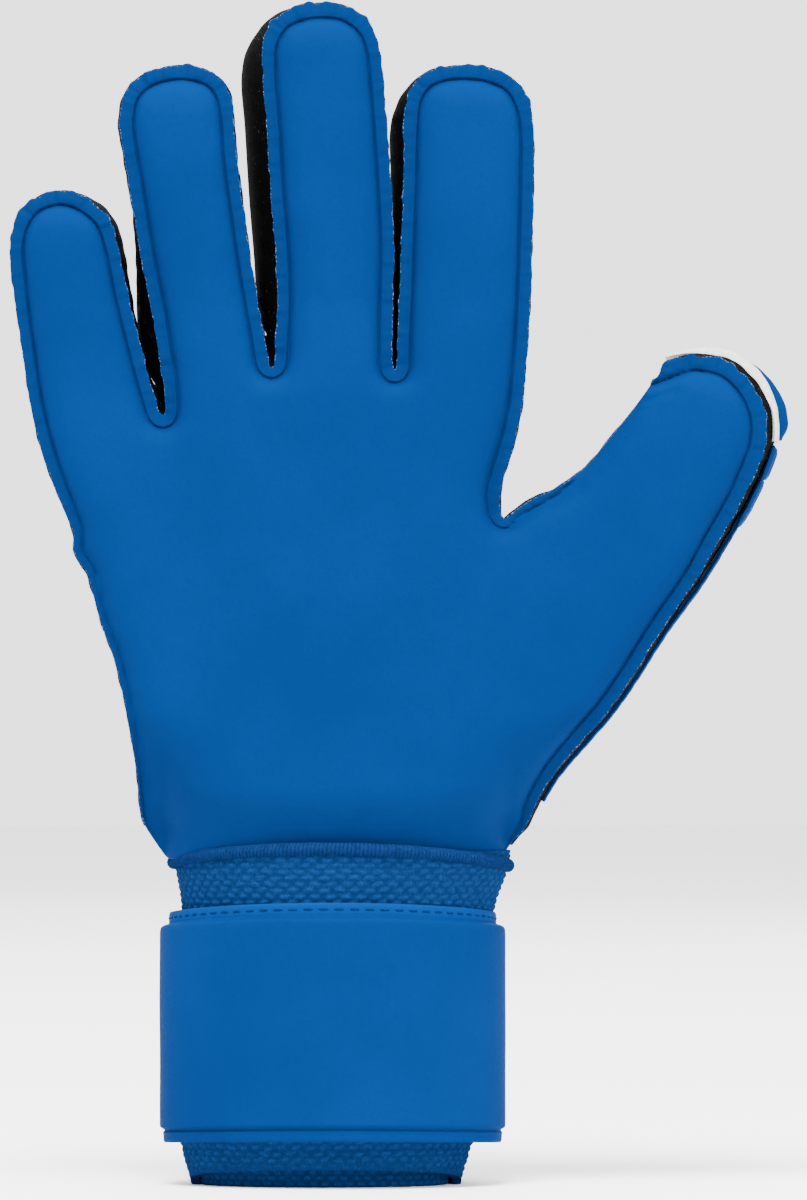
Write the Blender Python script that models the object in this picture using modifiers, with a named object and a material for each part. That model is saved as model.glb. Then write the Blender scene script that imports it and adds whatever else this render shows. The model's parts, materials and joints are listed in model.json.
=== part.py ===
"""Right-hand goalkeeper glove, built from its cut pieces.

The glove stands on its cuff: +Z runs from the cuff to the fingertips, the palm faces -Y and the
thumb points to +X. The origin is the centre of the cuff's opening. Sizes below are in millimetres,
and to_metres() turns them into Blender's units when a mesh is made.

Each finger bends at two flex creases, a knuckle and a middle joint, so its panels are cut there
into a lower and an upper section. The hinge of a crease lies in the middle of the palm panel.
"""

import math

import bmesh
import bpy
from mathutils import Vector

MM = 0.001

# Overall sizes.
BREADTH_GRADE = 1.0  # widens or narrows the cut pattern across the hand
LENGTH_GRADE = 1.0  # lengthens or shortens the cut pattern along the hand
CLEARANCE = 0.3  # between pieces that lie against each other
GUSSET_CLEARANCE = 0.6  # between a side wall's edges and the panels it joins
FLEX_GAP = 4.6  # open width of a flex crease

# Panels: latex laminated on foam in front, padded textile behind.
PALM_THICKNESS = 4.5
BACK_THICKNESS = 4.5
PANEL_EDGE_ROUND = 1.0
FINGER_FRONT_FACE = -14.5
FINGER_BACK_FACE = 12.5
BACK_INSET = 1.5  # the back panels are cut this much narrower than the palm

# Gussets: the textile side walls between the palm and the back.
GUSSET_THICKNESS = 1.6
SEAM_ALLOWANCE = 2.4  # the palm's edge stands this far outside the gusset
GUSSET_HEM_LIFT = 1.2  # the side walls of the hand end this far above the wrist seam

# Cuff, strap and closure.
WRIST_HALF_WIDTH = 39.0
WRIST_HALF_DEPTH = 23.5
WRISTBAND_WALL = 2.4
WRISTBAND_FOOT_INSET = 2.5  # the band's foot is this much narrower all round
WRISTBAND_FLARE = 3.0  # the band's top is this much wider all round
FOOT_HEIGHT = 6.0
STRAP_FOOT = 13.0
STRAP_WIDTH = 58.0
STRAP_THICKNESS = 4.2
STRAP_CROWN = 2.5  # the strap's edges arch this far up over the palm side
STRAP_TO_SEAM = 12.0
SEAM_ROLL_HEIGHT = 6.0
SEAM_ROLL_THICKNESS = 3.0
PATCH_THICKNESS = 1.0
PATCH_MARGIN = 6.0
PULL_TAB_LENGTH = 12.0
PULL_TAB_THICKNESS = 2.4

# Angles round the wrist, from +X towards the back (+Y), in degrees.
STRAP_START = 112.0
STRAP_HINGE = 153.0 - 360.0
OVERLAP_START = 116.0
STRAP_END = 42.0
PATCH_SPAN = (52.0, 104.0)

# Heights that the sizes above set.
CUFF_HEIGHT = STRAP_FOOT + STRAP_WIDTH + STRAP_TO_SEAM + SEAM_ROLL_HEIGHT
BAND_TOP = CUFF_HEIGHT - CLEARANCE


class Finger:
    """A finger's cut outline, in its own frame: along its length, and across it."""

    def __init__(self, base, lean, length, width, knuckle, middle, roll, tip_round):
        self.base = (base[0] * BREADTH_GRADE, CUFF_HEIGHT + base[1] * LENGTH_GRADE)
        self.lean = math.radians(lean)
        self.length = length * LENGTH_GRADE
        self.width = [w * BREADTH_GRADE for w in width]
        self.knuckle = knuckle
        self.middle = middle * LENGTH_GRADE
        self.roll = roll  # how far the back is turned to one side of the front
        self.tip_round = tip_round

    def point(self, along, across):
        """The place (x, z) of a point that lies so far along and across the finger."""
        sine, cosine = math.sin(self.lean), math.cos(self.lean)
        return (
            self.base[0] + sine * along + cosine * across,
            self.base[1] + cosine * along - sine * across,
        )

    def half_width(self, along):
        share = max(0.0, min(1.0, along / self.length))
        return (self.width[0] + (self.width[1] - self.width[0]) * share) / 2

    def section(self, start, end, inset):
        """The outline of a section with straight ends."""
        corners = [(start, -1), (end, -1), (end, 1), (start, 1)]
        return [(a, side * (self.half_width(a) - inset)) for a, side in corners]

    def tip(self, start, inset):
        """The open outline of the fingertip, up one side, round the end and down the other."""
        shoulder = self.length - self.tip_round
        half = self.half_width(shoulder) - inset
        reach = self.tip_round - inset
        steps = 10
        arc = []
        for i in range(steps + 1):
            turn = math.pi * (i / steps - 0.5)
            arc.append((shoulder + reach * math.cos(turn), half * math.sin(turn)))
        foot = self.half_width(start) - inset
        return [(start, -foot), *arc, (start, foot)]


FINGERS = {
    "little": Finger((-60.0, 110.0), -10.2, 52.0, (31.0, 26.6), 10.0, 30.0, 1.5, 12.5),
    "ring": Finger((-29.9, 122.0), -7.5, 71.0, (27.6, 28.4), 10.5, 38.5, -1.0, 13.0),
    "middle": Finger((0.5, 122.5), -2.3, 85.8, (29.2, 30.2), 10.0, 44.0, -3.0, 14.0),
    "index": Finger((32.6, 121.0), 1.6, 72.8, (32.8, 32.2), 10.5, 38.5, -2.0, 14.5),
    "thumb": Finger((72.2, 72.0), 34.0, 53.0, (43.0, 34.0), 12.0, 31.0, 2.5, 12.0),
}

# Cut edges of the hand, as (across, above the wrist seam).
HEEL_EDGE = [(-73.5, 99.0), (-68.0, 83.5), (-61.5, 66.0), (-55.0, 43.0), (-50.0, 20.0), (-46.5, 5.0)]
THUMB_EDGE = [(83.0, 53.5), (74.0, 39.0), (65.0, 28.0), (54.0, 15.5), (46.0, 3.5)]
WEB_EDGE = [(47.6, 108.0), (43.6, 91.0), (42.2, 82.0), (46.0, 80.5)]
CROTCHES = {
    ("little", "ring"): (-42.2, 107.0),
    ("ring", "middle"): (-15.3, 119.4),
    ("middle", "index"): (16.0, 118.2),
}
HEM_HALF_WIDTH = 41.5  # the hand's lower edge, where it meets the wristband

COLOURS = {
    "latex_blue": ((0.004, 0.115, 0.38), 0.62),
    "gusset_black": ((0.012, 0.012, 0.014), 0.85),
    "backhand_black": ((0.02, 0.021, 0.025), 0.8),
    "backhand_white": ((0.72, 0.73, 0.74), 0.65),
    "knit_blue": ((0.006, 0.08, 0.26), 0.9),
    "hook_black": ((0.01, 0.01, 0.012), 0.9),
}


def to_metres(x, y, z):
    return Vector((x, y, z)) * MM


def on_pattern(point):
    """A point of the cut pattern, as (x, z)."""
    return (point[0] * BREADTH_GRADE, CUFF_HEIGHT + point[1] * LENGTH_GRADE)


def knuckle_height():
    """The height of the row of knuckles, where the hand's panels begin to slope."""
    middle = FINGERS["middle"]
    return middle.point(middle.knuckle, 0)[1]


def slope(at_finger, at_wrist):
    """How much y changes for each millimetre of height below the knuckles."""
    return (at_wrist - at_finger) / (knuckle_height() - CUFF_HEIGHT)


FRONT_SLOPE = slope(FINGER_FRONT_FACE, -WRIST_HALF_DEPTH + 1.0)
BACK_SLOPE = slope(FINGER_BACK_FACE, WRIST_HALF_DEPTH - 3.0)


def front_face(height):
    return FINGER_FRONT_FACE + FRONT_SLOPE * max(0.0, knuckle_height() - height)


def back_face(height):
    return FINGER_BACK_FACE + BACK_SLOPE * max(0.0, knuckle_height() - height)


def gusset_span(height):
    """(front, back) of the side wall at a height, clear of both panels."""
    front = front_face(height) + PALM_THICKNESS + GUSSET_CLEARANCE
    back = back_face(height) - BACK_THICKNESS - GUSSET_CLEARANCE
    return front, back


def material(name):
    found = bpy.data.materials.get(name)
    if found:
        return found
    colour, roughness = COLOURS[name]
    made = bpy.data.materials.new(name)
    made.use_nodes = True
    shader = made.node_tree.nodes["Principled BSDF"]
    shader.inputs["Base Color"].default_value = (*colour, 1.0)
    shader.inputs["Roughness"].default_value = roughness
    shader.inputs["Metallic"].default_value = 0.0
    return made


def add(name, data, slot):
    thing = bpy.data.objects.new(name, data)
    data.materials.append(material(slot))
    glove.objects.link(thing)
    return thing


def panel(name, outline, face, thickness, slot, lean=0.0, pivot=0.0):
    """A flat panel with rounded edges. outline is (x, z), and face is y of its outer face.

    lean tilts the panel about the level line at height pivot, by that much y for each
    millimetre of height below it.
    """
    data = bpy.data.curves.new(name, "CURVE")
    data.dimensions = "2D"
    data.fill_mode = "BOTH"
    data.extrude = (thickness / 2 - PANEL_EDGE_ROUND) * MM
    data.bevel_depth = PANEL_EDGE_ROUND * MM
    data.bevel_resolution = 1
    data.offset = -PANEL_EDGE_ROUND * MM
    spline = data.splines.new("POLY")
    spline.points.add(len(outline) - 1)
    spline.use_cyclic_u = True
    tilt = math.atan(lean)
    for place, (x, z) in zip(spline.points, outline):
        place.co = (x * MM, (z - pivot) / math.cos(tilt) * MM, 0.0, 1.0)
    thing = add(name, data, slot)
    inward = thickness / 2 if face < 0 else -thickness / 2
    thing.location = to_metres(0.0, face + inward, pivot)
    thing.rotation_euler = (math.pi / 2 + tilt, 0.0, 0.0)
    return thing


def shell(name, rows, thickness, slot, closed=False):
    """A wall of even thickness round the surface through rows of points."""
    columns = len(rows[0])
    mesh = bpy.data.meshes.new(name)
    work = bmesh.new()
    bmesh.ops.create_grid(work, x_segments=columns - 1, y_segments=len(rows) - 1, size=1.0)
    work.verts.ensure_lookup_table()
    for i, place in enumerate(work.verts):
        place.co = to_metres(*rows[i // columns][i % columns])
    if closed:
        bmesh.ops.remove_doubles(work, verts=work.verts, dist=0.05 * MM)
    bmesh.ops.recalc_face_normals(work, faces=work.faces)
    work.to_mesh(mesh)
    work.free()
    thing = add(name, mesh, slot)
    wall = thing.modifiers.new("wall", "SOLIDIFY")
    wall.thickness = thickness * MM
    wall.offset = 0.0
    wall.use_even_offset = True
    mesh.shade_smooth()
    mesh.set_sharp_from_angle(angle=math.radians(40))
    return thing


def side_wall(name, path, level=None):
    """A gusset along a path of (x, z, back shift in x, back shift in z).

    level is the height whose depth the whole wall has; without it the depth follows the hand.
    """
    front_row, back_row = [], []
    for x, z, shift_x, shift_z in path:
        front, back = gusset_span(z if level is None else level)
        front_row.append((x, front, z))
        back_row.append((x + shift_x, back, z + shift_z))
    return shell(name, [front_row, back_row], GUSSET_THICKNESS, "gusset_black")


def rolled(finger, points):
    """Path points of a side wall from a finger's own (along, across) points."""
    shift_x = finger.roll * math.cos(finger.lean)
    shift_z = -finger.roll * math.sin(finger.lean)
    return [(*finger.point(a, u), shift_x, shift_z) for a, u in points]


def inset_path(points, distance):
    """An open path moved sideways, to the left of the way it runs."""
    moved = []
    for i, here in enumerate(points):
        before, after = points[max(i - 1, 0)], points[min(i + 1, len(points) - 1)]
        run = Vector((after[0] - before[0], after[1] - before[1])).normalized()
        moved.append((here[0] - run.y * distance, here[1] + run.x * distance))
    return moved


def finger_panels(name, finger):
    """The lower and upper sections of one finger: front, back and side walls."""
    lower = (finger.knuckle + FLEX_GAP / 2, finger.middle - FLEX_GAP / 2)
    upper = finger.middle + FLEX_GAP / 2
    level = finger.point(finger.knuckle, 0)[1]
    front, back = front_face(level), back_face(level)

    def placed(points, shift=0.0):
        return [finger.point(a, u + shift) for a, u in points]

    panel(f"{name}_lower_palm", placed(finger.section(*lower, 0.0)), front, PALM_THICKNESS, "latex_blue")
    panel(f"{name}_tip_palm", placed(finger.tip(upper, 0.0)), front, PALM_THICKNESS, "latex_blue")
    lower_back = placed(finger.section(*lower, BACK_INSET), finger.roll)
    tip_back = placed(finger.tip(upper, BACK_INSET), finger.roll)
    panel(f"{name}_lower_back", lower_back, back, BACK_THICKNESS, "backhand_white")
    panel(f"{name}_tip_back", tip_back, back, BACK_THICKNESS, "backhand_white")

    inner = rolled(finger, finger.section(*lower, SEAM_ALLOWANCE))
    side_wall(f"{name}_lower_gusset_left", inner[:2], level)
    side_wall(f"{name}_lower_gusset_right", inner[2:], level)
    side_wall(f"{name}_tip_gusset", rolled(finger, finger.tip(upper, SEAM_ALLOWANCE)), level)


def stub(finger, side, inset):
    """The end of a finger's root on the hand, just below the knuckle crease."""
    along = finger.knuckle - FLEX_GAP / 2
    return finger.point(along, side * (finger.half_width(along) - inset))


def hand_outline(inset, rolls, hem):
    """The hand without its fingers, clockwise from the lower left. rolls turns the stubs."""

    def corner(name, side):
        finger = FINGERS[name]
        shift = finger.roll * rolls
        x, z = stub(finger, side, inset)
        return (x + shift * math.cos(finger.lean), z - shift * math.sin(finger.lean))

    points = [(-HEM_HALF_WIDTH * BREADTH_GRADE + inset, hem)]
    points += [(x + inset, z) for x, z in map(on_pattern, reversed(HEEL_EDGE))]
    names = ["little", "ring", "middle", "index"]
    for name, following in zip(names, names[1:] + [None]):
        points += [corner(name, -1), corner(name, 1)]
        if following:
            x, z = on_pattern(CROTCHES[name, following])
            shift = (FINGERS[name].roll + FINGERS[following].roll) / 2 * rolls
            points.append((x + shift, z - inset))
    points += [(x - inset, z - inset) for x, z in map(on_pattern, WEB_EDGE)]
    points += [corner("thumb", -1), corner("thumb", 1)]
    points += [(x - inset, z + inset / 2) for x, z in map(on_pattern, THUMB_EDGE)]
    points.append((HEM_HALF_WIDTH * BREADTH_GRADE - inset, hem))
    return points


def hand_panels():
    """The palm and the backhand, without their fingers."""
    pivot = knuckle_height()
    hem = CUFF_HEIGHT + CLEARANCE
    palm = hand_outline(0.0, 0, hem)
    panel("palm", palm, FINGER_FRONT_FACE, PALM_THICKNESS, "latex_blue", FRONT_SLOPE, pivot)
    back = hand_outline(BACK_INSET, 1, hem)
    panel("backhand", back, FINGER_BACK_FACE, BACK_THICKNESS, "backhand_black", BACK_SLOPE, pivot)


def hand_gussets():
    """The side walls of the hand: one round each crotch, one along the heel, two at the thumb."""
    for (first, second), crotch in CROTCHES.items():
        left, right = FINGERS[first], FINGERS[second]
        x, z = on_pattern(crotch)
        up = [left.knuckle - FLEX_GAP / 2, 3.0]
        down = [(a, left.half_width(a) - SEAM_ALLOWANCE) for a in up]
        rise = [(a, SEAM_ALLOWANCE - right.half_width(a)) for a in reversed(up)]
        shift = (left.roll + right.roll) / 2
        bottom = (x, z - SEAM_ALLOWANCE, shift, 0.0)
        path = [*rolled(left, down), bottom, *rolled(right, rise)]
        side_wall(f"fourchette_{first}_{second}", path)

    little, index, thumb = FINGERS["little"], FINGERS["index"], FINGERS["thumb"]
    hem = CUFF_HEIGHT + GUSSET_HEM_LIFT

    def faded(points, finger, start_share=1.0, end_share=0.0):
        """Path points whose back shift fades from one end of the path to the other."""
        count = len(points) - 1
        shares = [start_share + (end_share - start_share) * i / count for i in range(count + 1)]
        return [(x, z, finger.roll * s, 0.0) for (x, z), s in zip(points, shares)]

    heel = inset_path([stub(little, -1, 0.0), *map(on_pattern, HEEL_EDGE)], SEAM_ALLOWANCE)
    heel.append((-(HEM_HALF_WIDTH - SEAM_ALLOWANCE) * BREADTH_GRADE, hem))
    side_wall("heel_gusset", faded(heel, little))
    web = inset_path([stub(index, 1, 0.0), *map(on_pattern, WEB_EDGE), stub(thumb, -1, 0.0)], -SEAM_ALLOWANCE)
    side_wall("thumb_web_gusset", faded(web, thumb, 0.0, 1.0))
    edge = inset_path([stub(thumb, 1, 0.0), *map(on_pattern, THUMB_EDGE)], -SEAM_ALLOWANCE)
    edge.append(((HEM_HALF_WIDTH - SEAM_ALLOWANCE) * BREADTH_GRADE, hem))
    side_wall("thumb_edge_gusset", faded(edge, thumb))


def round_wrist(angle, outward):
    """The place (x, y) at an angle round the wrist, that far outside the band's surface."""
    turn = math.radians(angle)
    return (
        (WRIST_HALF_WIDTH + outward) * math.cos(turn),
        (WRIST_HALF_DEPTH + outward) * math.sin(turn),
    )


def arch(angle):
    """How far an edge of the strap rises at an angle: most over the palm side."""
    return STRAP_CROWN * max(0.0, -math.sin(math.radians(angle)))


def band(name, angles, outward, heights, thickness, slot, closed=False, arched=False):
    """A band round the wrist. outward is a number, or a function of the angle."""
    offsets = [outward(a) if callable(outward) else outward for a in angles]
    places = [round_wrist(a, o) for a, o in zip(angles, offsets)]
    rows = []
    for height in heights:
        rises = [arch(a) if arched else 0.0 for a in angles]
        rows.append([(x, y, height + rise) for (x, y), rise in zip(places, rises)])
    return shell(name, rows, thickness, slot, closed)


def turn_angles(start, end, step=7.5):
    count = max(1, round(abs(end - start) / step))
    return [start + (end - start) * i / count for i in range(count + 1)]


def wristband():
    """The knitted elastic tube, and the rolled seam that joins it to the hand."""
    half = WRISTBAND_WALL / 2
    stages = [
        (0.0, -WRISTBAND_FOOT_INSET),
        (FOOT_HEIGHT, -WRISTBAND_FOOT_INSET),
        (STRAP_FOOT, 0.0),
        (STRAP_FOOT + STRAP_WIDTH + STRAP_CROWN, 0.0),
        (BAND_TOP - SEAM_ROLL_HEIGHT, WRISTBAND_FLARE),
        (BAND_TOP, WRISTBAND_FLARE),
    ]
    angles = turn_angles(0.0, 360.0)
    rows = [[(*round_wrist(a, outward - half), height) for a in angles] for height, outward in stages]
    shell("wristband", rows, WRISTBAND_WALL, "knit_blue", closed=True)
    roll = WRISTBAND_FLARE + CLEARANCE + SEAM_ROLL_THICKNESS / 2
    heights = [BAND_TOP - SEAM_ROLL_HEIGHT, BAND_TOP - 1.0]
    band("wristband_seam_roll", angles, roll, heights, SEAM_ROLL_THICKNESS, "knit_blue", closed=True)


def strap_height():
    return [STRAP_FOOT, STRAP_FOOT + STRAP_WIDTH]


def strap_offset():
    """The strap's mid line, outside the wristband."""
    return CLEARANCE + STRAP_THICKNESS / 2


def strap():
    """The latex wrist strap, sewn down at the back, and its free end with hook and loop."""
    on_band = strap_offset()
    loop_at = CLEARANCE * 2 + STRAP_THICKNESS + PATCH_THICKNESS / 2
    hook_at = loop_at + PATCH_THICKNESS + CLEARANCE
    end_at = hook_at + PATCH_THICKNESS / 2 + CLEARANCE + STRAP_THICKNESS / 2
    lift = end_at - on_band
    hinge_gap = 1.2 / (WRIST_HALF_DEPTH + on_band) * 180 / math.pi

    def rising(angle):
        """The free end climbs from the band onto the start of the strap."""
        hinge = STRAP_HINGE + 360.0
        share = max(0.0, min(1.0, (hinge - angle) / (hinge - OVERLAP_START)))
        return on_band + lift * share * share * (3 - 2 * share)

    around = turn_angles(STRAP_START, STRAP_HINGE + hinge_gap / 2)
    band("strap", around, on_band, strap_height(), STRAP_THICKNESS, "latex_blue", arched=True)
    free = turn_angles(STRAP_HINGE + 360.0 - hinge_gap / 2, STRAP_END)
    band("strap_end", free, rising, strap_height(), STRAP_THICKNESS, "latex_blue")

    patch_height = [STRAP_FOOT + PATCH_MARGIN, STRAP_FOOT + STRAP_WIDTH - PATCH_MARGIN]
    patch = turn_angles(*PATCH_SPAN)
    band("loop_patch", patch, loop_at, patch_height, PATCH_THICKNESS, "hook_black")
    band("hook_patch", patch, hook_at, patch_height, PATCH_THICKNESS, "hook_black")

    start = STRAP_END - 1.0
    span = math.degrees(PULL_TAB_LENGTH / (WRIST_HALF_DEPTH + end_at))
    tab_height = [STRAP_FOOT + STRAP_WIDTH * share for share in (0.3, 0.7)]
    pull = turn_angles(start, start - span)
    band("pull_tab", pull, end_at, tab_height, PULL_TAB_THICKNESS, "hook_black")


def clear_scene():
    for thing in list(bpy.data.objects):
        bpy.data.objects.remove(thing, do_unlink=True)


clear_scene()
glove = bpy.data.collections.new("goalkeeper_glove")
bpy.context.scene.collection.children.link(glove)
hand_panels()
hand_gussets()
for finger_name, cut in FINGERS.items():
    finger_panels(finger_name, cut)
wristband()
strap()
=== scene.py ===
"""A right-hand goalkeeper glove: its latex, textiles, knit and strap, on the frame of its parts.

Lengths are in millimetres unless a name says otherwise, and build() turns them into metres.
x runs towards the thumb, z towards the fingertips, and the palm faces -y.
"""

import json
import math
from functools import lru_cache

import bmesh
import bpy
import numpy as np
from bpy.props import FloatProperty, FloatVectorProperty, PointerProperty
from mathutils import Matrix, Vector
from mathutils.geometry import delaunay_2d_cdt


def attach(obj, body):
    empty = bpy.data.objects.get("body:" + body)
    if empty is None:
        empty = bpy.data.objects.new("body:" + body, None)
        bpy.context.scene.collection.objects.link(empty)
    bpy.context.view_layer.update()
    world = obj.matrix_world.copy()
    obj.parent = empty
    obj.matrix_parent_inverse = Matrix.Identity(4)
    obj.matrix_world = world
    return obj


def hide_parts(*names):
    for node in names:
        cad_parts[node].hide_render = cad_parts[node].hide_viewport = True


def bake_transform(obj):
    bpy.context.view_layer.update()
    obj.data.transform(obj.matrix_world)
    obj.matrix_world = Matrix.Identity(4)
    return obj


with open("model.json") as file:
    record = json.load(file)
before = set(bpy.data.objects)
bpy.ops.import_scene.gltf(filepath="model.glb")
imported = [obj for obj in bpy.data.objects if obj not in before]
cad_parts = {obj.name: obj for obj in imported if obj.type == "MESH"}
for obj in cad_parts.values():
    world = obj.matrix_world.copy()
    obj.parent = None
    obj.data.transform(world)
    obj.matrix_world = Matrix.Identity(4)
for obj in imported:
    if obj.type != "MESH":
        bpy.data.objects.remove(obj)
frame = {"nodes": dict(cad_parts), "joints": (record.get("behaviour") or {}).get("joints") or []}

bl_info = {
    "name": "Goalkeeper Glove",
    "version": (1, 0, 0),
    "blender": (4, 5, 0),
    "location": "3D View > Sidebar > Glove",
    "description": "Builds a goalkeeper glove piece by piece",
    "category": "Add Mesh",
}

MM = 0.001
FINGERS = ("little", "ring", "middle", "index", "thumb")
CREASE_REACH = 7.0  # a crease bends this far to each side of its hinge
FINGER_HALF = 24.0  # no finger is wider than this to each side of its axis

# The palm's cut edge, clockwise from the lower left: x, z, how far the back is turned sideways
# there, and how wide the flange is as a share of its full width. A corner has a trailing 1.
OUTLINE = (
    (-41.3, 81.8, 0.0, 0.0, 1),
    (-46.9, 90.2, 0.0, 0.3, 0),
    (-47.9, 93.2, 0.0, 0.32, 0),
    (-48.9, 103.8, 0.0, 0.4, 0),
    (-52.3, 123.8, -0.3, 0.45, 0),
    (-54.4, 132.1, -0.3, 0.5, 0),
    (-57.3, 139.8, -0.3, 0.5, 0),
    (-60.3, 150.6, -0.3, 0.55, 0),
    (-61.0, 153.2, -0.5, 0.6, 0),
    (-63.9, 157.6, -0.5, 0.65, 0),
    (-64.6, 160.0, -0.5, 0.7, 0),
    (-64.5, 163.2, -0.4, 0.7, 0),
    (-66.6, 168.4, -0.2, 0.8, 0),
    (-68.6, 173.2, 0.0, 0.85, 0),
    (-71.8, 181.5, 0.0, 0.9, 0),
    (-75.0, 193.5, 0.0, 0.9, 0),
    (-77.0, 205.5, 0.3, 0.9, 0),
    (-78.3, 214.5, 0.6, 0.9, 0),
    (-79.8, 224.5, 0.8, 1.0, 0),
    (-80.6, 235.5, 1.0, 1.0, 0),
    (-79.3, 242.0, 1.0, 1.1, 0),
    (-75.5, 247.0, 1.0, 1.1, 0),
    (-68.3, 249.4, 1.0, 1.1, 0),
    (-62.0, 247.8, 1.2, 1.1, 0),
    (-56.0, 242.8, 1.3, 1.1, 0),
    (-53.5, 235.5, 1.2, 1.0, 0),
    (-51.0, 223.5, 0.6, 1.0, 0),
    (-48.3, 212.5, -0.6, 1.0, 0),
    (-44.8, 199.5, -1.6, 1.0, 0),
    (-42.4, 192.6, -2.0, 1.0, 0),
    (-41.9, 192.6, -2.4, 1.0, 0),
    (-42.0, 199.5, -4.6, 1.0, 0),
    (-43.4, 208.5, -5.8, 1.0, 0),
    (-45.0, 218.5, -5.2, 1.0, 0),
    (-47.3, 229.5, -2.8, 1.0, 0),
    (-49.3, 241.5, -0.4, 1.0, 0),
    (-51.3, 253.5, -0.4, 1.0, 0),
    (-52.7, 262.0, -0.4, 1.0, 0),
    (-53.2, 268.0, -0.4, 1.1, 0),
    (-51.6, 274.2, -0.4, 1.1, 0),
    (-47.0, 278.6, -0.4, 1.1, 0),
    (-38.0, 280.8, -0.4, 1.1, 0),
    (-29.5, 278.7, -0.6, 1.1, 0),
    (-25.6, 274.0, -0.6, 1.1, 0),
    (-24.5, 267.0, -0.6, 1.0, 0),
    (-23.6, 256.0, -0.6, 1.0, 0),
    (-21.8, 243.0, -0.8, 1.0, 0),
    (-19.4, 227.0, -1.0, 1.0, 0),
    (-16.9, 213.0, -1.4, 1.0, 0),
    (-15.3, 205.0, -1.8, 1.0, 0),
    (-14.8, 205.0, -2.2, 1.0, 0),
    (-14.1, 213.0, -4.2, 1.0, 0),
    (-13.7, 221.0, -6.2, 1.0, 0),
    (-14.1, 233.0, -6.6, 1.0, 0),
    (-15.3, 247.5, -6.6, 1.0, 0),
    (-16.4, 265.5, -6.6, 1.0, 0),
    (-17.4, 279.0, -6.4, 1.0, 0),
    (-17.3, 286.5, -4.6, 1.1, 0),
    (-14.3, 292.6, -2.2, 1.2, 0),
    (-8.5, 295.7, -1.0, 1.2, 0),
    (-1.0, 296.5, -0.8, 1.2, 0),
    (4.8, 295.2, -1.0, 1.2, 0),
    (9.6, 291.0, -1.4, 1.1, 0),
    (11.8, 285.5, -2.0, 1.0, 0),
    (13.0, 276.0, -2.6, 1.0, 0),
    (14.1, 262.0, -3.0, 1.0, 0),
    (15.1, 247.0, -3.0, 1.0, 0),
    (15.6, 235.0, -2.6, 1.0, 0),
    (15.3, 221.0, -2.0, 1.0, 0),
    (15.2, 211.5, -1.4, 1.0, 0),
    (15.5, 203.8, -1.2, 1.0, 0),
    (15.9, 203.8, -1.2, 1.0, 0),
    (16.3, 212.0, -2.2, 1.0, 0),
    (16.8, 223.0, -2.9, 1.0, 0),
    (17.4, 240.0, -3.5, 1.0, 0),
    (17.9, 255.0, -4.2, 1.0, 0),
    (17.9, 266.0, -4.2, 1.1, 0),
    (18.8, 272.8, -2.6, 1.1, 0),
    (22.2, 277.9, -1.0, 1.1, 0),
    (27.5, 280.3, -0.7, 1.1, 0),
    (34.0, 280.8, -0.5, 1.1, 0),
    (40.5, 279.8, -0.5, 1.1, 0),
    (46.2, 276.8, -0.5, 1.1, 0),
    (49.6, 271.0, -0.5, 1.1, 0),
    (50.5, 264.0, -0.5, 1.0, 0),
    (50.5, 252.0, -0.5, 1.0, 0),
    (50.2, 236.0, -0.5, 1.0, 0),
    (49.6, 220.0, -0.5, 1.0, 0),
    (48.7, 206.0, -0.5, 1.0, 0),
    (47.4, 194.0, -0.4, 1.0, 0),
    (45.2, 184.5, -0.3, 1.0, 0),
    (43.0, 177.5, -0.2, 1.0, 0),
    (42.0, 171.0, 0.0, 1.0, 0),
    (42.9, 166.8, 0.0, 0.8, 0),
    (45.0, 168.6, 0.0, 0.55, 0),
    (49.5, 171.8, 0.2, 0.65, 0),
    (56.0, 174.8, 0.4, 0.45, 0),
    (63.3, 180.2, 0.8, 0.05, 0),
    (69.5, 187.5, 1.2, 0.0, 0),
    (76.0, 195.5, 1.6, 0.0, 0),
    (80.4, 201.6, 1.8, 0.0, 0),
    (82.0, 203.6, 1.6, 0.2, 0),
    (82.4, 206.0, 1.6, 1.2, 1),
    (86.0, 207.3, 2.0, 1.2, 0),
    (90.0, 208.0, 2.6, 1.2, 0),
    (94.5, 207.9, 3.2, 1.2, 0),
    (99.5, 206.2, 4.0, 1.2, 0),
    (104.0, 202.3, 4.6, 1.2, 0),
    (107.3, 197.0, 4.8, 1.2, 0),
    (108.8, 191.2, 4.4, 1.2, 0),
    (108.4, 185.0, 3.2, 1.2, 0),
    (106.3, 179.3, 3.0, 1.2, 0),
    (102.2, 171.0, 3.0, 1.1, 0),
    (97.2, 162.3, 2.6, 1.1, 0),
    (90.8, 151.5, 1.8, 1.0, 0),
    (82.5, 139.5, 1.8, 1.0, 0),
    (75.0, 127.5, 1.5, 1.0, 0),
    (69.0, 119.0, 1.4, 1.0, 0),
    (62.5, 111.5, 1.4, 1.0, 0),
    (55.5, 103.2, 1.4, 0.9, 0),
    (51.0, 95.5, 1.4, 0.8, 0),
    (48.6, 90.0, 0.8, 0.6, 0),
    (44.6, 85.4, 0.0, 0.2, 0),
    (42.8, 82.6, 0.0, 0.0, 1),
    (21.0, 83.6, 0.0, 0.0, 0),
    (0.0, 84.4, 0.0, 0.0, 0),
    (-21.0, 83.4, 0.0, 0.0, 0),
)
FLANGE = 3.5  # from the cut edge to the stitched seam
RING_DEPTHS = (0.0, 0.25, 0.6, 1.1, 1.7, 2.2, 2.6, 2.9, 3.15, 3.35, 3.55, 3.8, 4.1, 4.6, 5.3)
EDGE_STEP = 0.8
FILL_STEP = 1.9
CLOSE_STEP = 0.6  # the web is this fine within CLOSE_REACH of a tight corner
CLOSE_REACH = 6.0

# The thumb's flange ends square at this corner of the cut edge, and rises from it at this slope.
THUMB_CORNER = (82.4, 206.0)
THUMB_SLOPE = 0.36
THUMB_FLANGE = 1.2

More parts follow.
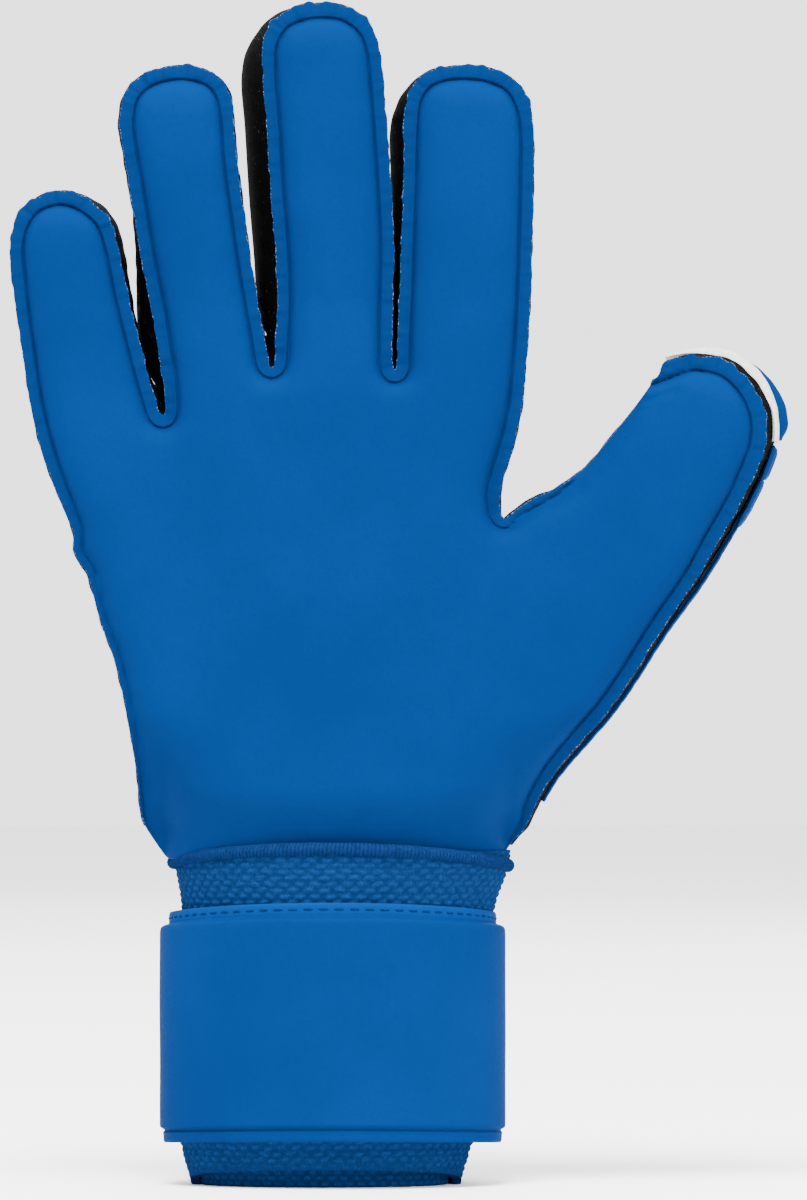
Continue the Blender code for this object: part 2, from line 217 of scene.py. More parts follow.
# Depths of the two sides of the hand: at the fingers, and how fast they part below the knuckles.
KNUCKLE_HEIGHT = 221.5
FRONT_DEPTH = 11.2
BACK_DEPTH = 9.4
SPREAD = 0.06
HEM = 84.0  # the hand's lower edge, where the wristband is sewn on
WRIST = {"x": 1.0, "half_width": 43.5, "half_depth": 23.0, "from": HEM, "to": 120.0}
WALL_SINK = 1.4  # the side walls start this far behind the flat of the palm's side
SLOTS = ((-42.1, 192.6), (-15.0, 205.0), (15.7, 203.8))
SLOT_LIFT = 9.0  # the back parts this much higher than the palm between two fingers

# Round the wrist, angles are in degrees from the thumb's side towards the back.
CUFF = {"half_width": 39.0, "half_depth": 23.5}
STRAP_START = 112.0
STRAP_HINGE = 153.0
STRAP_END = 42.0
STRAP_HEIGHT = 57.8
STRAP_GAP = 0.45  # between the cuff and the strap's inner face
STRAP_X = 0.1  # the middle of the strap's ellipse
STRAP_ARCH = 1.6  # how much taller the strap is in the middle of the palm side
LIP_HEIGHT = 3.0  # of the thin sewn lip along the strap's top
LIP_SHARE = 0.42  # the lip's thickness as a share of the strap's

BLUE_SHEEN = (0.05, 0.35, 0.9, 1)


def smoothstep(low, high, value):
    share = np.clip((value - low) / (high - low), 0.0, 1.0)
    return share * share * (3 - 2 * share)


def ripple(position, wavelengths, seed):
    """Uneven waves along a line, from -1 to 1: sines of these wavelengths with random phases."""
    draw = np.random.default_rng(seed)
    phases = draw.uniform(0, 2 * math.pi, len(wavelengths))
    waves = [np.sin(2 * math.pi * position / w + p) for w, p in zip(wavelengths, phases)]
    return sum(waves) / len(wavelengths)


def mottle(x, z, span, seed):
    """Soft random hills over the plane: a sum of plane waves near this span in random directions."""
    count = 7
    draw = np.random.default_rng(seed)
    total = np.zeros(np.broadcast(x, z).shape)
    for angle, phase, scale in draw.uniform((0, 0, 0.7), (6.28, 6.28, 1.5), (count, 3)):
        run = x * math.cos(angle) + z * math.sin(angle)
        total += np.sin(2 * math.pi * run / (span * scale) + phase)
    return total / count


class Surface:
    """An open or closed surface of polygons, as arrays, with named values at its points."""

    def __init__(self, points, corners, sizes, values):
        self.points = points
        self.corners = corners
        self.sizes = sizes
        self.values = values

    def starts(self):
        return np.concatenate(([0], np.cumsum(self.sizes)[:-1]))

    def next_corners(self):
        following = np.arange(len(self.corners)) + 1
        ends = self.starts() + self.sizes - 1
        following[ends] = self.starts()
        return self.corners[following]

    def face_numbers(self):
        """The number of the face that each corner belongs to."""
        return np.repeat(np.arange(len(self.sizes)), self.sizes)

    def face_sums(self, values):
        """The sum over each face of the vectors given at its corners."""
        total = np.zeros((len(self.sizes), 3))
        np.add.at(total, self.face_numbers(), values)
        return total

    def centres(self):
        return self.face_sums(self.points[self.corners]) / self.sizes[:, None]

    def face_areas(self):
        """For each face, a vector square to it, twice as long as its area."""
        here, after = self.points[self.corners], self.points[self.next_corners()]
        return self.face_sums(np.cross(here, after))

    def normals(self):
        """Unit normals at the points: each is the mean of its faces' by area."""
        total = np.zeros_like(self.points)
        np.add.at(total, self.corners, self.face_areas()[self.face_numbers()])
        return total / np.maximum(np.linalg.norm(total, axis=1, keepdims=True), 1e-9)

    def area(self):
        return np.linalg.norm(self.face_areas(), axis=1).sum() / 2

    def part(self, faces):
        """The surface of just these faces."""
        keep = np.repeat(faces, self.sizes)
        used, corners = np.unique(self.corners[keep], return_inverse=True)
        values = {name: v[used] for name, v in self.values.items()}
        return Surface(self.points[used], corners.ravel(), self.sizes[faces], values)

    def turned_over(self):
        """The surface with each face's corners in the opposite order."""
        last = np.repeat(self.starts() + self.sizes - 1, self.sizes)
        within = np.arange(len(self.corners)) - np.repeat(self.starts(), self.sizes)
        return Surface(self.points, self.corners[last - within], self.sizes, self.values)

    def solid(self, thickness):
        """A closed wall: the surface, a copy set inwards along its "normal" values, and their rim."""
        count = len(self.points)
        inner = self.points - self.values["normal"] * np.reshape(thickness, (-1, 1))
        reversed_corners = self.turned_over().corners + count
        here, after = self.corners, self.next_corners()
        key, back = here * count + after, after * count + here
        rim = ~np.isin(key, back)
        a, b = here[rim], after[rim]
        quads = np.stack([b, a, a + count, b + count], 1).ravel()
        corners = np.concatenate([here, reversed_corners, quads])
        sizes = np.concatenate([self.sizes, self.sizes, np.full(len(a), 4)])
        values = {n: np.concatenate([v, v]) for n, v in self.values.items()}
        return Surface(np.concatenate([self.points, inner]), corners, sizes, values)


def grid_surface(points, values=None, closed_u=False, closed_v=False):
    """A surface through a grid of points, rows by columns, closed round either way if asked."""
    rows, columns = points.shape[:2]
    index = np.arange(rows * columns).reshape(rows, columns)
    if closed_u:
        index = np.concatenate([index, index[:, :1]], 1)
    if closed_v:
        index = np.concatenate([index, index[:1]], 0)
    quads = np.stack([index[:-1, :-1], index[:-1, 1:], index[1:, 1:], index[1:, :-1]], -1)
    quads = quads.reshape(-1, 4)
    values = {n: np.broadcast_to(v, (rows, columns)).ravel() for n, v in (values or {}).items()}
    return Surface(points.reshape(-1, 3), quads.ravel(), np.full(len(quads), 4), values)


def join(*surfaces):
    """Several surfaces as one, with the values that they share."""
    offsets = np.cumsum([0] + [len(s.points) for s in surfaces[:-1]])
    names = set.intersection(*[set(s.values) for s in surfaces])
    return Surface(
        np.concatenate([s.points for s in surfaces]),
        np.concatenate([s.corners + o for s, o in zip(surfaces, offsets)]),
        np.concatenate([s.sizes for s in surfaces]),
        {n: np.concatenate([s.values[n] for s in surfaces]) for n in names},
    )


def mesh_of(name, surface, scale):
    """A mesh of a surface, with its values as attributes."""
    mesh = bpy.data.meshes.new(name)
    mesh.vertices.add(len(surface.points))
    mesh.vertices.foreach_set("co", (surface.points * scale).astype(np.float32).ravel())
    mesh.loops.add(len(surface.corners))
    mesh.loops.foreach_set("vertex_index", surface.corners.astype(np.int32))
    mesh.polygons.add(len(surface.sizes))
    mesh.polygons.foreach_set("loop_start", surface.starts().astype(np.int32))
    mesh.update(calc_edges=True)
    mesh.validate()
    for label, value in surface.values.items():
        if label != "normal":
            layer = mesh.attributes.new(label, "FLOAT", "POINT")
            layer.data.foreach_set("value", np.asarray(value, np.float32))
    return mesh


def read(items, field, kind, width=1):
    """One field of every item of a mesh collection, as an array."""
    found = np.empty(len(items) * width, kind)
    items.foreach_get(field, found)
    return found if width == 1 else found.reshape(-1, width)


def build(name, surface, material, sharp=40.0):
    """A mesh object of a surface, with edges sharper than this angle in degrees left sharp."""
    mesh = mesh_of(name, surface, MM)
    mesh.shade_smooth()
    mesh.set_sharp_from_angle(angle=math.radians(sharp))
    made = bpy.data.objects.new(name, mesh)
    bpy.context.scene.collection.objects.link(made)
    mesh.materials.append(material)
    return made


def size(name):
    """One of GloveSizes, in millimetres."""
    return getattr(bpy.context.scene.glove_sizes, name) / MM


# ---------------------------------------------------------------- fingers and creases


@lru_cache(maxsize=None)
def creases():
    """For each finger: its knuckle (x, z), its direction, and how far along the middle joint is."""
    hinges = {j["name"]: j for j in frame["joints"]}
    found = {}
    for name in FINGERS:
        first, second = hinges[f"{name}_knuckle"], hinges[f"{name}_middle"]
        start = np.array([first["pos_m"][0], first["pos_m"][2]]) / MM
        middle = np.array([second["pos_m"][0], second["pos_m"][2]]) / MM
        along = np.array([-first["axis"][2], first["axis"][0]])
        found[name] = (start, along, float(np.dot(middle - start, along)))
    return found


def along_across(name, x, z):
    """How far points lie along a finger past its knuckle, and across it from its axis."""
    start, along, _ = creases()[name]
    dx, dz = x - start[0], z - start[1]
    return dx * along[0] + dz * along[1], dx * along[1] - dz * along[0]


def finger_of(x, z):
    """The finger each point lies on, as an index in FINGERS, or -1 on the hand."""
    past, aside = zip(*[along_across(name, x, z) for name in FINGERS])
    past, aside = np.array(past), np.abs(np.array(aside))
    aside[past < -CREASE_REACH] = np.inf
    return np.where(aside.min(0) < FINGER_HALF, aside.argmin(0), -1)


def crease_cuts(name):
    """Where along a finger its pieces part: at the start of the knuckle's bend, and between bends."""
    middle = creases()[name][2]
    return -CREASE_REACH, middle / 2


def cut_at_creases(surface):
    """The surface with its faces split along each finger's two dividing lines."""
    band, half = 4, 26  # only faces this near the line, along and across the finger, are split
    mesh = mesh_of("cutting", surface, 1.0)
    work = bmesh.new()
    work.from_mesh(mesh)
    for number, name in enumerate(FINGERS):
        start, along, _ = creases()[name]
        for cut in crease_cuts(name):
            work.to_mesh(mesh)
            x, _, z = read(mesh.polygons, "center", np.float32, 3).T
            past, aside = along_across(name, x, z)
            owner = finger_of(x, z)
            on_finger = (owner == number) | ((owner == -1) & (past > cut - band))
            near = on_finger & (np.abs(past - cut) < band) & (np.abs(aside) < half)
            work.faces.ensure_lookup_table()
            chosen = [work.faces[i] for i in np.flatnonzero(near)]
            edges = {e for f in chosen for e in f.edges}
            places = {v for f in chosen for v in f.verts}
            at = start + along * cut
            bmesh.ops.bisect_plane(
                work,
                geom=[*chosen, *edges, *places],
                dist=1e-4,
                plane_co=(at[0], 0, at[1]),
                plane_no=(along[0], 0, along[1]),
            )
    work.to_mesh(mesh)
    work.free()
    points = read(mesh.vertices, "co", np.float32, 3).astype(float)
    corners = read(mesh.loops, "vertex_index", np.int32).astype(int)
    sizes = read(mesh.polygons, "loop_total", np.int32).astype(int)
    values = {}
    for name in surface.values:
        values[name] = read(mesh.attributes[name].data, "value", np.float32).astype(float)
    bpy.data.meshes.remove(mesh)
    return Surface(points, corners, sizes, values)


def sections(surface):
    """Names and face masks of a cut surface's pieces: the hand, and two sections on each finger."""
    centres = surface.centres()
    owner = finger_of(centres[:, 0], centres[:, 2])
    result = {"hand": np.ones(len(centres), bool)}
    for number, name in enumerate(FINGERS):
        past, _ = along_across(name, centres[:, 0], centres[:, 2])
        first, second = crease_cuts(name)
        lower = (owner == number) & (past > first) & (past <= second)
        upper = (owner == number) & (past > second)
        result[f"{name}_lower"], result[f"{name}_tip"] = lower, upper
        result["hand"] &= ~(lower | upper)
    return {n: mask for n, mask in result.items() if mask.any()}


def fasten(made, section):
    """A piece of the hand rides on it; a finger's section has its transform baked into its mesh."""
    if section == "hand":
        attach(made, "hand")
        return
    name, part = section.split("_")
    start, along, middle = creases()[name]
    centre = 0.0 if part == "lower" else middle
    ends = [start + along * (centre + side * CREASE_REACH) for side in (-1, 1)]
    ends = [(e[0] * MM, 0.0, e[1] * MM) for e in ends]
    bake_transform(made)


def make_sections(
    label, surface, thickness, material, declare, stands_for=None, sharp=40.0, face=0.0
):
    """Every piece of a layer that runs over the whole glove; the hand's piece is bound to its body.

    The wall is set in along the normals. Where face is -1 or 1, they lean towards that way along y,
    which keeps the wall inside the cut edge where the surface is furrowed.
    """
    lean = surface.normals() * (0.25 if face else 1.0) + np.array([0.0, 0.75 * face, 0.0])
    surface.values["normal"] = lean / np.linalg.norm(lean, axis=1, keepdims=True)
    for section, mask in sections(surface).items():
        piece = surface.part(mask)
        made = build(f"{label}_{section}", piece.solid(thickness), material, sharp)
        declare(made, piece)
        fasten(made, section)
        if stands_for:
            nodes = [n for n in stands_for(section) if n in frame["nodes"]]
            if nodes:
                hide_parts(*nodes)


# ---------------------------------------------------------------- the cut edge


def spline(control):
    """A closed curve through the control points: centripetal Catmull-Rom, so it never loops."""
    per_span, least = 24, 0.05
    quads = [np.roll(control, shift, 0) for shift in (1, 0, -1, -2)]
    spans = [np.linalg.norm(b[:, :2] - a[:, :2], axis=1) for a, b in zip(quads, quads[1:])]
    gaps = [np.maximum(span, least) ** 0.5 for span in spans]
    t0 = np.zeros(len(control))
    t1 = t0 + gaps[0]
    t2 = t1 + gaps[1]
    t3 = t2 + gaps[2]
    share = np.linspace(0, 1, per_span, endpoint=False)
    t = t1[:, None] + (t2 - t1)[:, None] * share
    t0, t1, t2, t3 = (k[:, None] for k in (t0, t1, t2, t3))

    def mix(a, b, start, end):
        w = ((t - start) / (end - start))[..., None]
        return a * (1 - w) + b * w

    p0, p1, p2, p3 = (q[:, None, :] for q in quads)
    a1, a2, a3 = mix(p0, p1, t0, t1), mix(p1, p2, t1, t2), mix(p2, p3, t2, t3)
    b1, b2 = mix(a1, a2, t0, t2), mix(a2, a3, t1, t3)
    return mix(b1, b2, t1, t2).reshape(-1, control.shape[1])


def resample(curve, measure, step):
    """Points of a closed curve at even steps of a measure that grows along it."""
    total = measure[-1]
    count = int(round(total / step))
    wanted = np.arange(count) * total / count
    closed = np.concatenate([curve, curve[:1]])
    return np.stack([np.interp(wanted, measure, column) for column in closed.T], 1)


def lengths(curve):
    """Distance round a closed curve at each point, and the whole of it at the end."""
    steps = np.linalg.norm(np.roll(curve[:, :2], -1, 0) - curve[:, :2], axis=1)
    return np.concatenate([[0], np.cumsum(steps)])


def soften(values, width):
    """A circular blur with a bell of this width, in samples."""
    reach = int(width * 3) + 1
    offsets = np.arange(-reach, reach + 1)
    weights = np.exp(-0.5 * (offsets / width) ** 2)
    weights /= weights.sum()
    return sum(w * np.roll(values, o, 0) for o, w in zip(offsets, weights))


@lru_cache(maxsize=None)
def cut_edge():
    """The cut edge as samples: points, inward directions, and what goes with each.

    Turn, flange and distance are how far the back is turned sideways, the flange's share and the
    distance along the edge. Uneven is how raggedly it's cut, and room how much of the way inwards
    the rings can go where the edge is tight. Samples are close where the edge turns, so that lines
    set in from it stay round.
    """
    corner_weight = 4.0
    control = []
    for x, z, turn, flange, corner in OUTLINE:
        control += [(x, z, turn, flange)] * (1 + corner)
    curve = spline(np.array(control))
    fine = resample(curve, lengths(curve), 0.2)
    fine = soften(fine, 4)
    run = np.roll(fine[:, :2], -1, 0) - np.roll(fine[:, :2], 1, 0)
    angle = np.unwrap(np.arctan2(run[:, 1], run[:, 0]))
    turning = np.abs(np.diff(np.concatenate([angle, angle[:1] - 2 * math.pi])))
    step = np.diff(lengths(fine)) + corner_weight * turning
    samples = resample(fine, np.concatenate([[0], np.cumsum(step)]), EDGE_STEP)
    points = samples[:, :2]
    run = np.roll(points, -1, 0) - np.roll(points, 1, 0)
    run /= np.linalg.norm(run, axis=1, keepdims=True)
    inward = np.stack([run[:, 1], -run[:, 0]], 1)
    distance = lengths(points)[:-1]
    angle = np.unwrap(np.arctan2(run[:, 1], run[:, 0]))
    bend = (np.roll(angle, -1) - np.roll(angle, 1) + math.pi) % (2 * math.pi) - math.pi
    span = np.linalg.norm(np.roll(points, -1, 0) - np.roll(points, 1, 0), axis=1)
    radius = span / np.maximum(-bend, 1e-3)
    room = np.minimum(1.0, 0.8 * radius / RING_DEPTHS[-1])
    tight = np.min([np.roll(room, k) for k in range(-6, 7)], 0)
    return {
        "points": points,
        "inward": soften(inward, 1.5),
        "turn": samples[:, 2],
        "flange": np.clip(samples[:, 3], 0, None),
        "distance": distance,
        "uneven": ripple(distance, (3.7, 5.3, 8.9, 15.0), 31) * np.clip(samples[:, 3], 0, 1.2) ** 2,
        "room": soften(tight, 4),
    }


def batches(points):
    """Slices of the points, short enough for tables of them against a whole loop."""
    most = 2000
    return [slice(start, start + most) for start in range(0, len(points), most)]


def inside(points, loop):
    """Which points lie inside a closed loop, by counting the sides crossed on the way out."""
    found = np.zeros(len(points), bool)
    ax, az = loop.T
    bx, bz = np.roll(loop, -1, 0).T
    for batch in batches(points):
        x, z = points[batch].T[:, :, None]
        crosses = (az > z) != (bz > z)
        with np.errstate(divide="ignore", invalid="ignore"):
            at = ax + (z - az) * (bx - ax) / (bz - az)
        found[batch] = (crosses & (x < at)).sum(1) % 2 == 1
    return found


def gap_to(points, loop):
    """Distance from each point to a loop, at any place on its sides, and the number of that side."""
    nearest = np.empty(len(points))
    number = np.empty(len(points), int)
    side = np.roll(loop, -1, 0) - loop
    length = np.maximum((side**2).sum(1), 1e-12)
    for batch in batches(points):
        away = points[batch, None] - loop[None]
        share = np.clip((away * side).sum(2) / length, 0, 1)
        away -= share[..., None] * side
        squared = (away**2).sum(2)
        number[batch] = squared.argmin(1)
        nearest[batch] = np.sqrt(squared.min(1))
    return nearest, number


def web_points(low, high, step):
    """Points of a triangular web over a rectangle."""
    row_share = 0.866  # the height of an equilateral triangle
    across = np.arange(low[0], high[0], step)
    rows = np.arange(low[1], high[1], step * row_share)
    x = across[None, :] + np.where(np.arange(len(rows)) % 2, step / 2, 0)[:, None]
    return np.stack([x, np.broadcast_to(rows[:, None], x.shape)], -1).reshape(-1, 2)


def near_any(points, places, reach):
    """Which points lie within reach of one of the places."""
    found = np.zeros(len(points), bool)
    for batch in batches(points):
        away = points[batch, None] - places[None]
        found[batch] = ((away**2).sum(2) < reach**2).any(1)
    return found


def cut_sheet(loop, inward, room, ring_values, extra, uneven=0.0):
    """A flat sheet filling a loop: rings set in from its edge, then a web of triangles inside them.

    ring_values are at the loop's samples, and other points take their nearest sample's. Extra has a
    function for each, of the value and the distance from the edge, that says how it fades inwards.
    """
    rings = []
    for depth in RING_DEPTHS:
        inset = depth * room + uneven * smoothstep(2.6, 0.0, depth)
        rings.append(loop + inward * inset[:, None])
    count = len(loop)
    last = rings[-1]
    tight = loop[room < 0.75][::4]
    web = []
    for step, least_gap, is_close in ((FILL_STEP, 1.0, False), (CLOSE_STEP, 0.5, True)):
        places = web_points(loop.min(0), loop.max(0), step)
        places = places[near_any(places, tight, CLOSE_REACH) == is_close]
        places = places[inside(places, last)]
        web.append(places[gap_to(places, last)[0] > least_gap])
    flat = np.concatenate([last, *web])
    made = delaunay_2d_cdt([Vector(p) for p in flat], [], [list(range(count))[::-1]], 1, 1e-5)
    where, triangles, origin = made[0], made[2], made[3]
    base = count * (len(rings) - 1)
    index = np.array([o[0] if o else -1 for o in origin])
    added = np.flatnonzero(index < 0)
    index[added] = len(flat) + np.arange(len(added))
    flat = np.concatenate([flat, np.array([where[i] for i in added]).reshape(-1, 2)])
    points = np.concatenate([*rings[:-1], flat])
    edge, nearest = gap_to(points, loop)
    trusted = np.tile(smoothstep(0.85, 1.0, room), len(rings))
    ringed = count * len(rings)
    labels = np.repeat(RING_DEPTHS, count)
    edge[:ringed] += (labels - edge[:ringed]) * trusted
    index_grid = np.arange(ringed).reshape(len(rings), count)
    following = np.roll(index_grid, -1, 1)
    quads = np.stack([index_grid[:-1], index_grid[1:], following[1:], following[:-1]], -1)
    quads = quads.reshape(-1, 4)
    triangles = np.array(triangles)
    corners = np.concatenate([quads.ravel(), (index[triangles] + base).ravel()])
    sizes = np.concatenate([np.full(len(quads), 4), np.full(len(triangles), 3)])
    values = {"edge_mm": edge}
    for name, value in ring_values.items():
        held = np.concatenate([np.tile(value, len(rings)), value[nearest[base + count :]]])
        values[name] = extra[name](held, edge)
    solid = np.stack([points[:, 0], np.zeros(len(points)), points[:, 1]], 1)
    return Surface(solid, corners, sizes, values)


def neighbours(grid):
    """The sum of the four values round each place of a grid."""
    return sum(np.roll(grid, by, axis) for axis in (0, 1) for by in (1, -1))


@lru_cache(maxsize=None)
def swelling():
    """How a skin held at the seam swells under even pressure, on a grid over the hand.

    The membrane's height is 0 outside, and inside its second derivatives add up to -1. Both colours
    of a checkerboard are corrected in turn, each time by a little more than the whole error.
    """
    step, sweeps, correction = 1.5, 500, 1.93
    loop = cut_edge()["points"] + cut_edge()["inward"] * FLANGE
    low, high = loop.min(0) - 3 * step, loop.max(0) + 3 * step
    xs, zs = np.arange(low[0], high[0], step), np.arange(low[1], high[1], step)
    grid = np.stack(np.meshgrid(xs, zs, indexing="ij"), -1)
    within = inside(grid.reshape(-1, 2), loop).reshape(grid.shape[:2])
    checker = np.indices(within.shape).sum(0) % 2
    height = np.zeros(within.shape)
    for _ in range(sweeps):
        for colour in (0, 1):
            target = (neighbours(height) + step * step) / 4
            chosen = within & (checker == colour)
            height[chosen] += correction * (target[chosen] - height[chosen])
    height = np.maximum(height, 0)
    for _ in range(3):
        height = (height * 4 + neighbours(height)) / 8
    return xs, zs, height


def swelling_at(x, z):
    """The membrane's height at any places, between the grid's."""
    xs, zs, height = swelling()
    step = xs[1] - xs[0]
    u = np.clip((x - xs[0]) / step, 0, len(xs) - 1.001)
    v = np.clip((z - zs[0]) / step, 0, len(zs) - 1.001)
    i, j = u.astype(int), v.astype(int)
    a, b = u - i, v - j
    low = height[i, j] * (1 - a) + height[i + 1, j] * a
    high = height[i, j + 1] * (1 - a) + height[i + 1, j + 1] * a
    return low * (1 - b) + high * b


def rest_depth(x, z, depth):
    """Depth of the flat of a side: a plane, curving round to the wrist's ellipse near the hem."""
    flat = depth + SPREAD * np.maximum(0, KNUCKLE_HEIGHT - z)
    share = 1 - ((x - WRIST["x"]) / WRIST["half_width"]) ** 2
    wrist = WRIST["half_depth"] * np.sqrt(np.clip(share, 0.04, 1))
    near = 1 - smoothstep(WRIST["from"], WRIST["to"], z)
    return flat * (1 - near) + wrist * near - tip_taper(x, z)


def tip_taper(x, z):
    """How much thinner each side of the glove is towards each fingertip."""
    past_middle = {"little": 22, "ring": 32, "middle": 41, "index": 34, "thumb": 24}
    total = np.zeros_like(x)
    owner = finger_of(x, z)
    for number, name in enumerate(FINGERS):
        past, _ = along_across(name, x, z)
        end = creases()[name][2] + past_middle[name]
        total += np.where(owner == number, 4.4 * np.clip((past - end + 15) / 19, 0, 1.1) ** 2, 0)
    return total


def front_height(x, z, edge, flange, distance, upward):
    """How far the latex stands out from the flat of the palm's side.

    The flange is a thin lip with small puckers, and larger folds where the edge faces upward. The
    seam is a furrow, and inside it the skin rises at once over its own thickness and then swells
    like a filled membrane. Where there is no flange the edge is a quarter round.
    """
    seam = FLANGE * np.clip(flange, 0.3, 1.2)
    inner = edge - seam
    wave = ripple(distance, (2.3, 3.1, 4.7, 7.3, 13.0), 5)
    lip = size("lip") * smoothstep(0.15, -0.75, inner)
    large = ripple(distance, (6.1, 9.7, 14.3), 17)
    folds = size("pucker") * (wave * (1 + upward) + 1.6 * upward * large)
    lip += folds * smoothstep(0.2, -2.0, inner)
    lip -= 0.35 * np.exp(-edge / 0.25)
    wide = smoothstep(0.45, 1.0, flange)
    within = np.maximum(inner, 0)
    crown = size("skin") * (1 - np.exp(-within / 1.3))
    crown *= 1 - 0.5 * (1 - wide) * np.exp(-within / 7.0)
    furrow = -0.22 * np.exp(-((inner / 0.4) ** 2)) * wide
    turned = 1 - np.clip(edge / 5.0, 0, 1)
    rolled = size("skin") - 3.4 * (1 - np.sqrt(np.clip(1 - turned**2, 0, 1)))
    share = smoothstep(0.05, 0.3, flange)
    skin = (lip + crown + furrow) * share + rolled * (1 - share)
    body = swelling_at(x, z)
    swell = size("swell") * body / (body + 70)
    hem = smoothstep(HEM, HEM + 16, z)
    hills = 0.25 * mottle(x, z, 46, 11) * smoothstep(3, 12, edge) * hem
    return skin * (0.35 + 0.65 * hem) + swell * hem + hills


def back_swell(x, z):
    """How far the back's padding swells at a place, and how much of that is left near the hem."""
    body = swelling_at(x, z)
    return 3.4 * body / (body + 60), smoothstep(HEM, HEM + 20, z)


def back_height(x, z, edge):
    """The same for the back: a quarter-round edge, then padding that swells less than the palm."""
    turned = 1 - np.clip(edge / 3.5, 0, 1)
    rolled = -2.2 * (1 - np.sqrt(np.clip(1 - turned**2, 0, 1)))
    swell, hem = back_swell(x, z)
    return rolled + (swell + 0.2 * mottle(x, z, 30, 3)) * hem


@lru_cache(maxsize=None)
def back_loop():
    """The back's edge: the cut edge turned sideways, and lifted at the thumb and between fingers."""
    edge = cut_edge()
    x, z = edge["points"].T
    lift = 0.25 * np.where(x > 80, edge["turn"], 0)
    for slot_x, slot_z in SLOTS:
        near = (np.abs(x - slot_x) < 8) & (z < slot_z + 30)
        lift += np.where(near, SLOT_LIFT * np.exp(-(((z - slot_z) / 8.0) ** 2)), 0)
    return edge["points"] + np.stack([edge["turn"], lift], 1) + edge["inward"] * 0.9


def unfaded(held, edge):
    """A ring value that stays the same inwards."""
    return held


@lru_cache(maxsize=None)
def front_surface():
    """The outer face of the latex: the whole palm side as one sheet."""
    edge = cut_edge()
    upward = np.clip(-edge["inward"][:, 1], 0, 1) * (edge["points"][:, 1] > 195)
    ring = {"flange": edge["flange"], "round_mm": edge["distance"], "upward": soften(upward, 8)}
    extra = {
        "flange": unfaded,
        "round_mm": unfaded,
        "upward": lambda held, edge: held * np.exp(-np.clip(edge - FLANGE, 0, None) / 4.5),
    }
    uneven = edge["uneven"] * (0.25 + 0.3 * ring["upward"])
    sheet = cut_sheet(edge["points"], edge["inward"], edge["room"], ring, extra, uneven)
    sheet = cut_at_creases(sheet)
    x, z = sheet.points[:, 0], sheet.points[:, 2]
    below = THUMB_CORNER[1] - z + THUMB_SLOPE * (x - THUMB_CORNER[0])
    below = below / math.hypot(1, THUMB_SLOPE)
    corner = smoothstep(9.5, 5.0, below) * smoothstep(93, 87, x) * smoothstep(76, 79, x)
    sheet.values["edge_mm"] += (below - sheet.values["edge_mm"]) * corner
    sheet.values["flange"] += (THUMB_FLANGE - sheet.values["flange"]) * corner
    names = ("edge_mm", "flange", "round_mm", "upward")
    height = front_height(x, z, *(sheet.values[n] for n in names))
    sheet.points[:, 1] = -(rest_depth(x, z, FRONT_DEPTH) + height)
    return sheet


@lru_cache(maxsize=None)
def back_surface():
    """The outer face of the padded back, as one sheet."""
    edge = cut_edge()
    ring = {"round_mm": edge["distance"]}
    sheet = cut_sheet(back_loop(), edge["inward"], edge["room"] * 0.8, ring, {"round_mm": unfaded})
    sheet = cut_at_creases(sheet)
    x, z = sheet.points[:, 0], sheet.points[:, 2]
    sheet.points[:, 1] = rest_depth(x, z, BACK_DEPTH) + back_height(x, z, sheet.values["edge_mm"])
    return sheet.turned_over()


def wall_surface(start, end, shares, swell):
    """A strip of the side wall, between two places on the cut edge given as sample numbers.

    A point runs from the palm's seam to the back's seam as its share goes from 0 to 1, and stands
    out by half a sine wave of that share, with small uneven folds along the edge.
    """
    edge = cut_edge()
    count = len(edge["points"])
    pick = np.arange(start, end + 1) % count
    front = (edge["points"] + edge["inward"] * 1.5)[pick]
    back = (back_loop() + edge["inward"] * 0.8)[pick]
    outward = -edge["inward"][pick]
    distance = edge["distance"][pick]
    front_y = -(rest_depth(*front.T, FRONT_DEPTH) - WALL_SINK)
    back_y = rest_depth(*back.T, BACK_DEPTH) - 2.0
    share = np.array(shares)[:, None]
    folds = 1 + 0.22 * ripple(distance, (5.0, 8.0, 13.0, 31.0), 9)
    fan = np.sin(share * math.pi) * folds * swell
    deep = share[..., None]
    flat = front[None] * (1 - deep) + back[None] * deep + outward[None] * fan[..., None]
    y = front_y * (1 - share) + back_y * share
    points = np.stack([flat[..., 0], y, flat[..., 1]], -1)
    values = {"round_mm": np.broadcast_to(distance, y.shape), "deep_mm": share * (back_y - front_y)}
    return grid_surface(points[:, ::-1], {n: v[:, ::-1] for n, v in values.items()})


def sample_near(x, z):
    """The number of the cut edge's sample nearest a place."""
    gaps = ((cut_edge()["points"] - np.array([x, z])) ** 2).sum(1)
    return int(gaps.argmin())


# ---------------------------------------------------------------- finishes


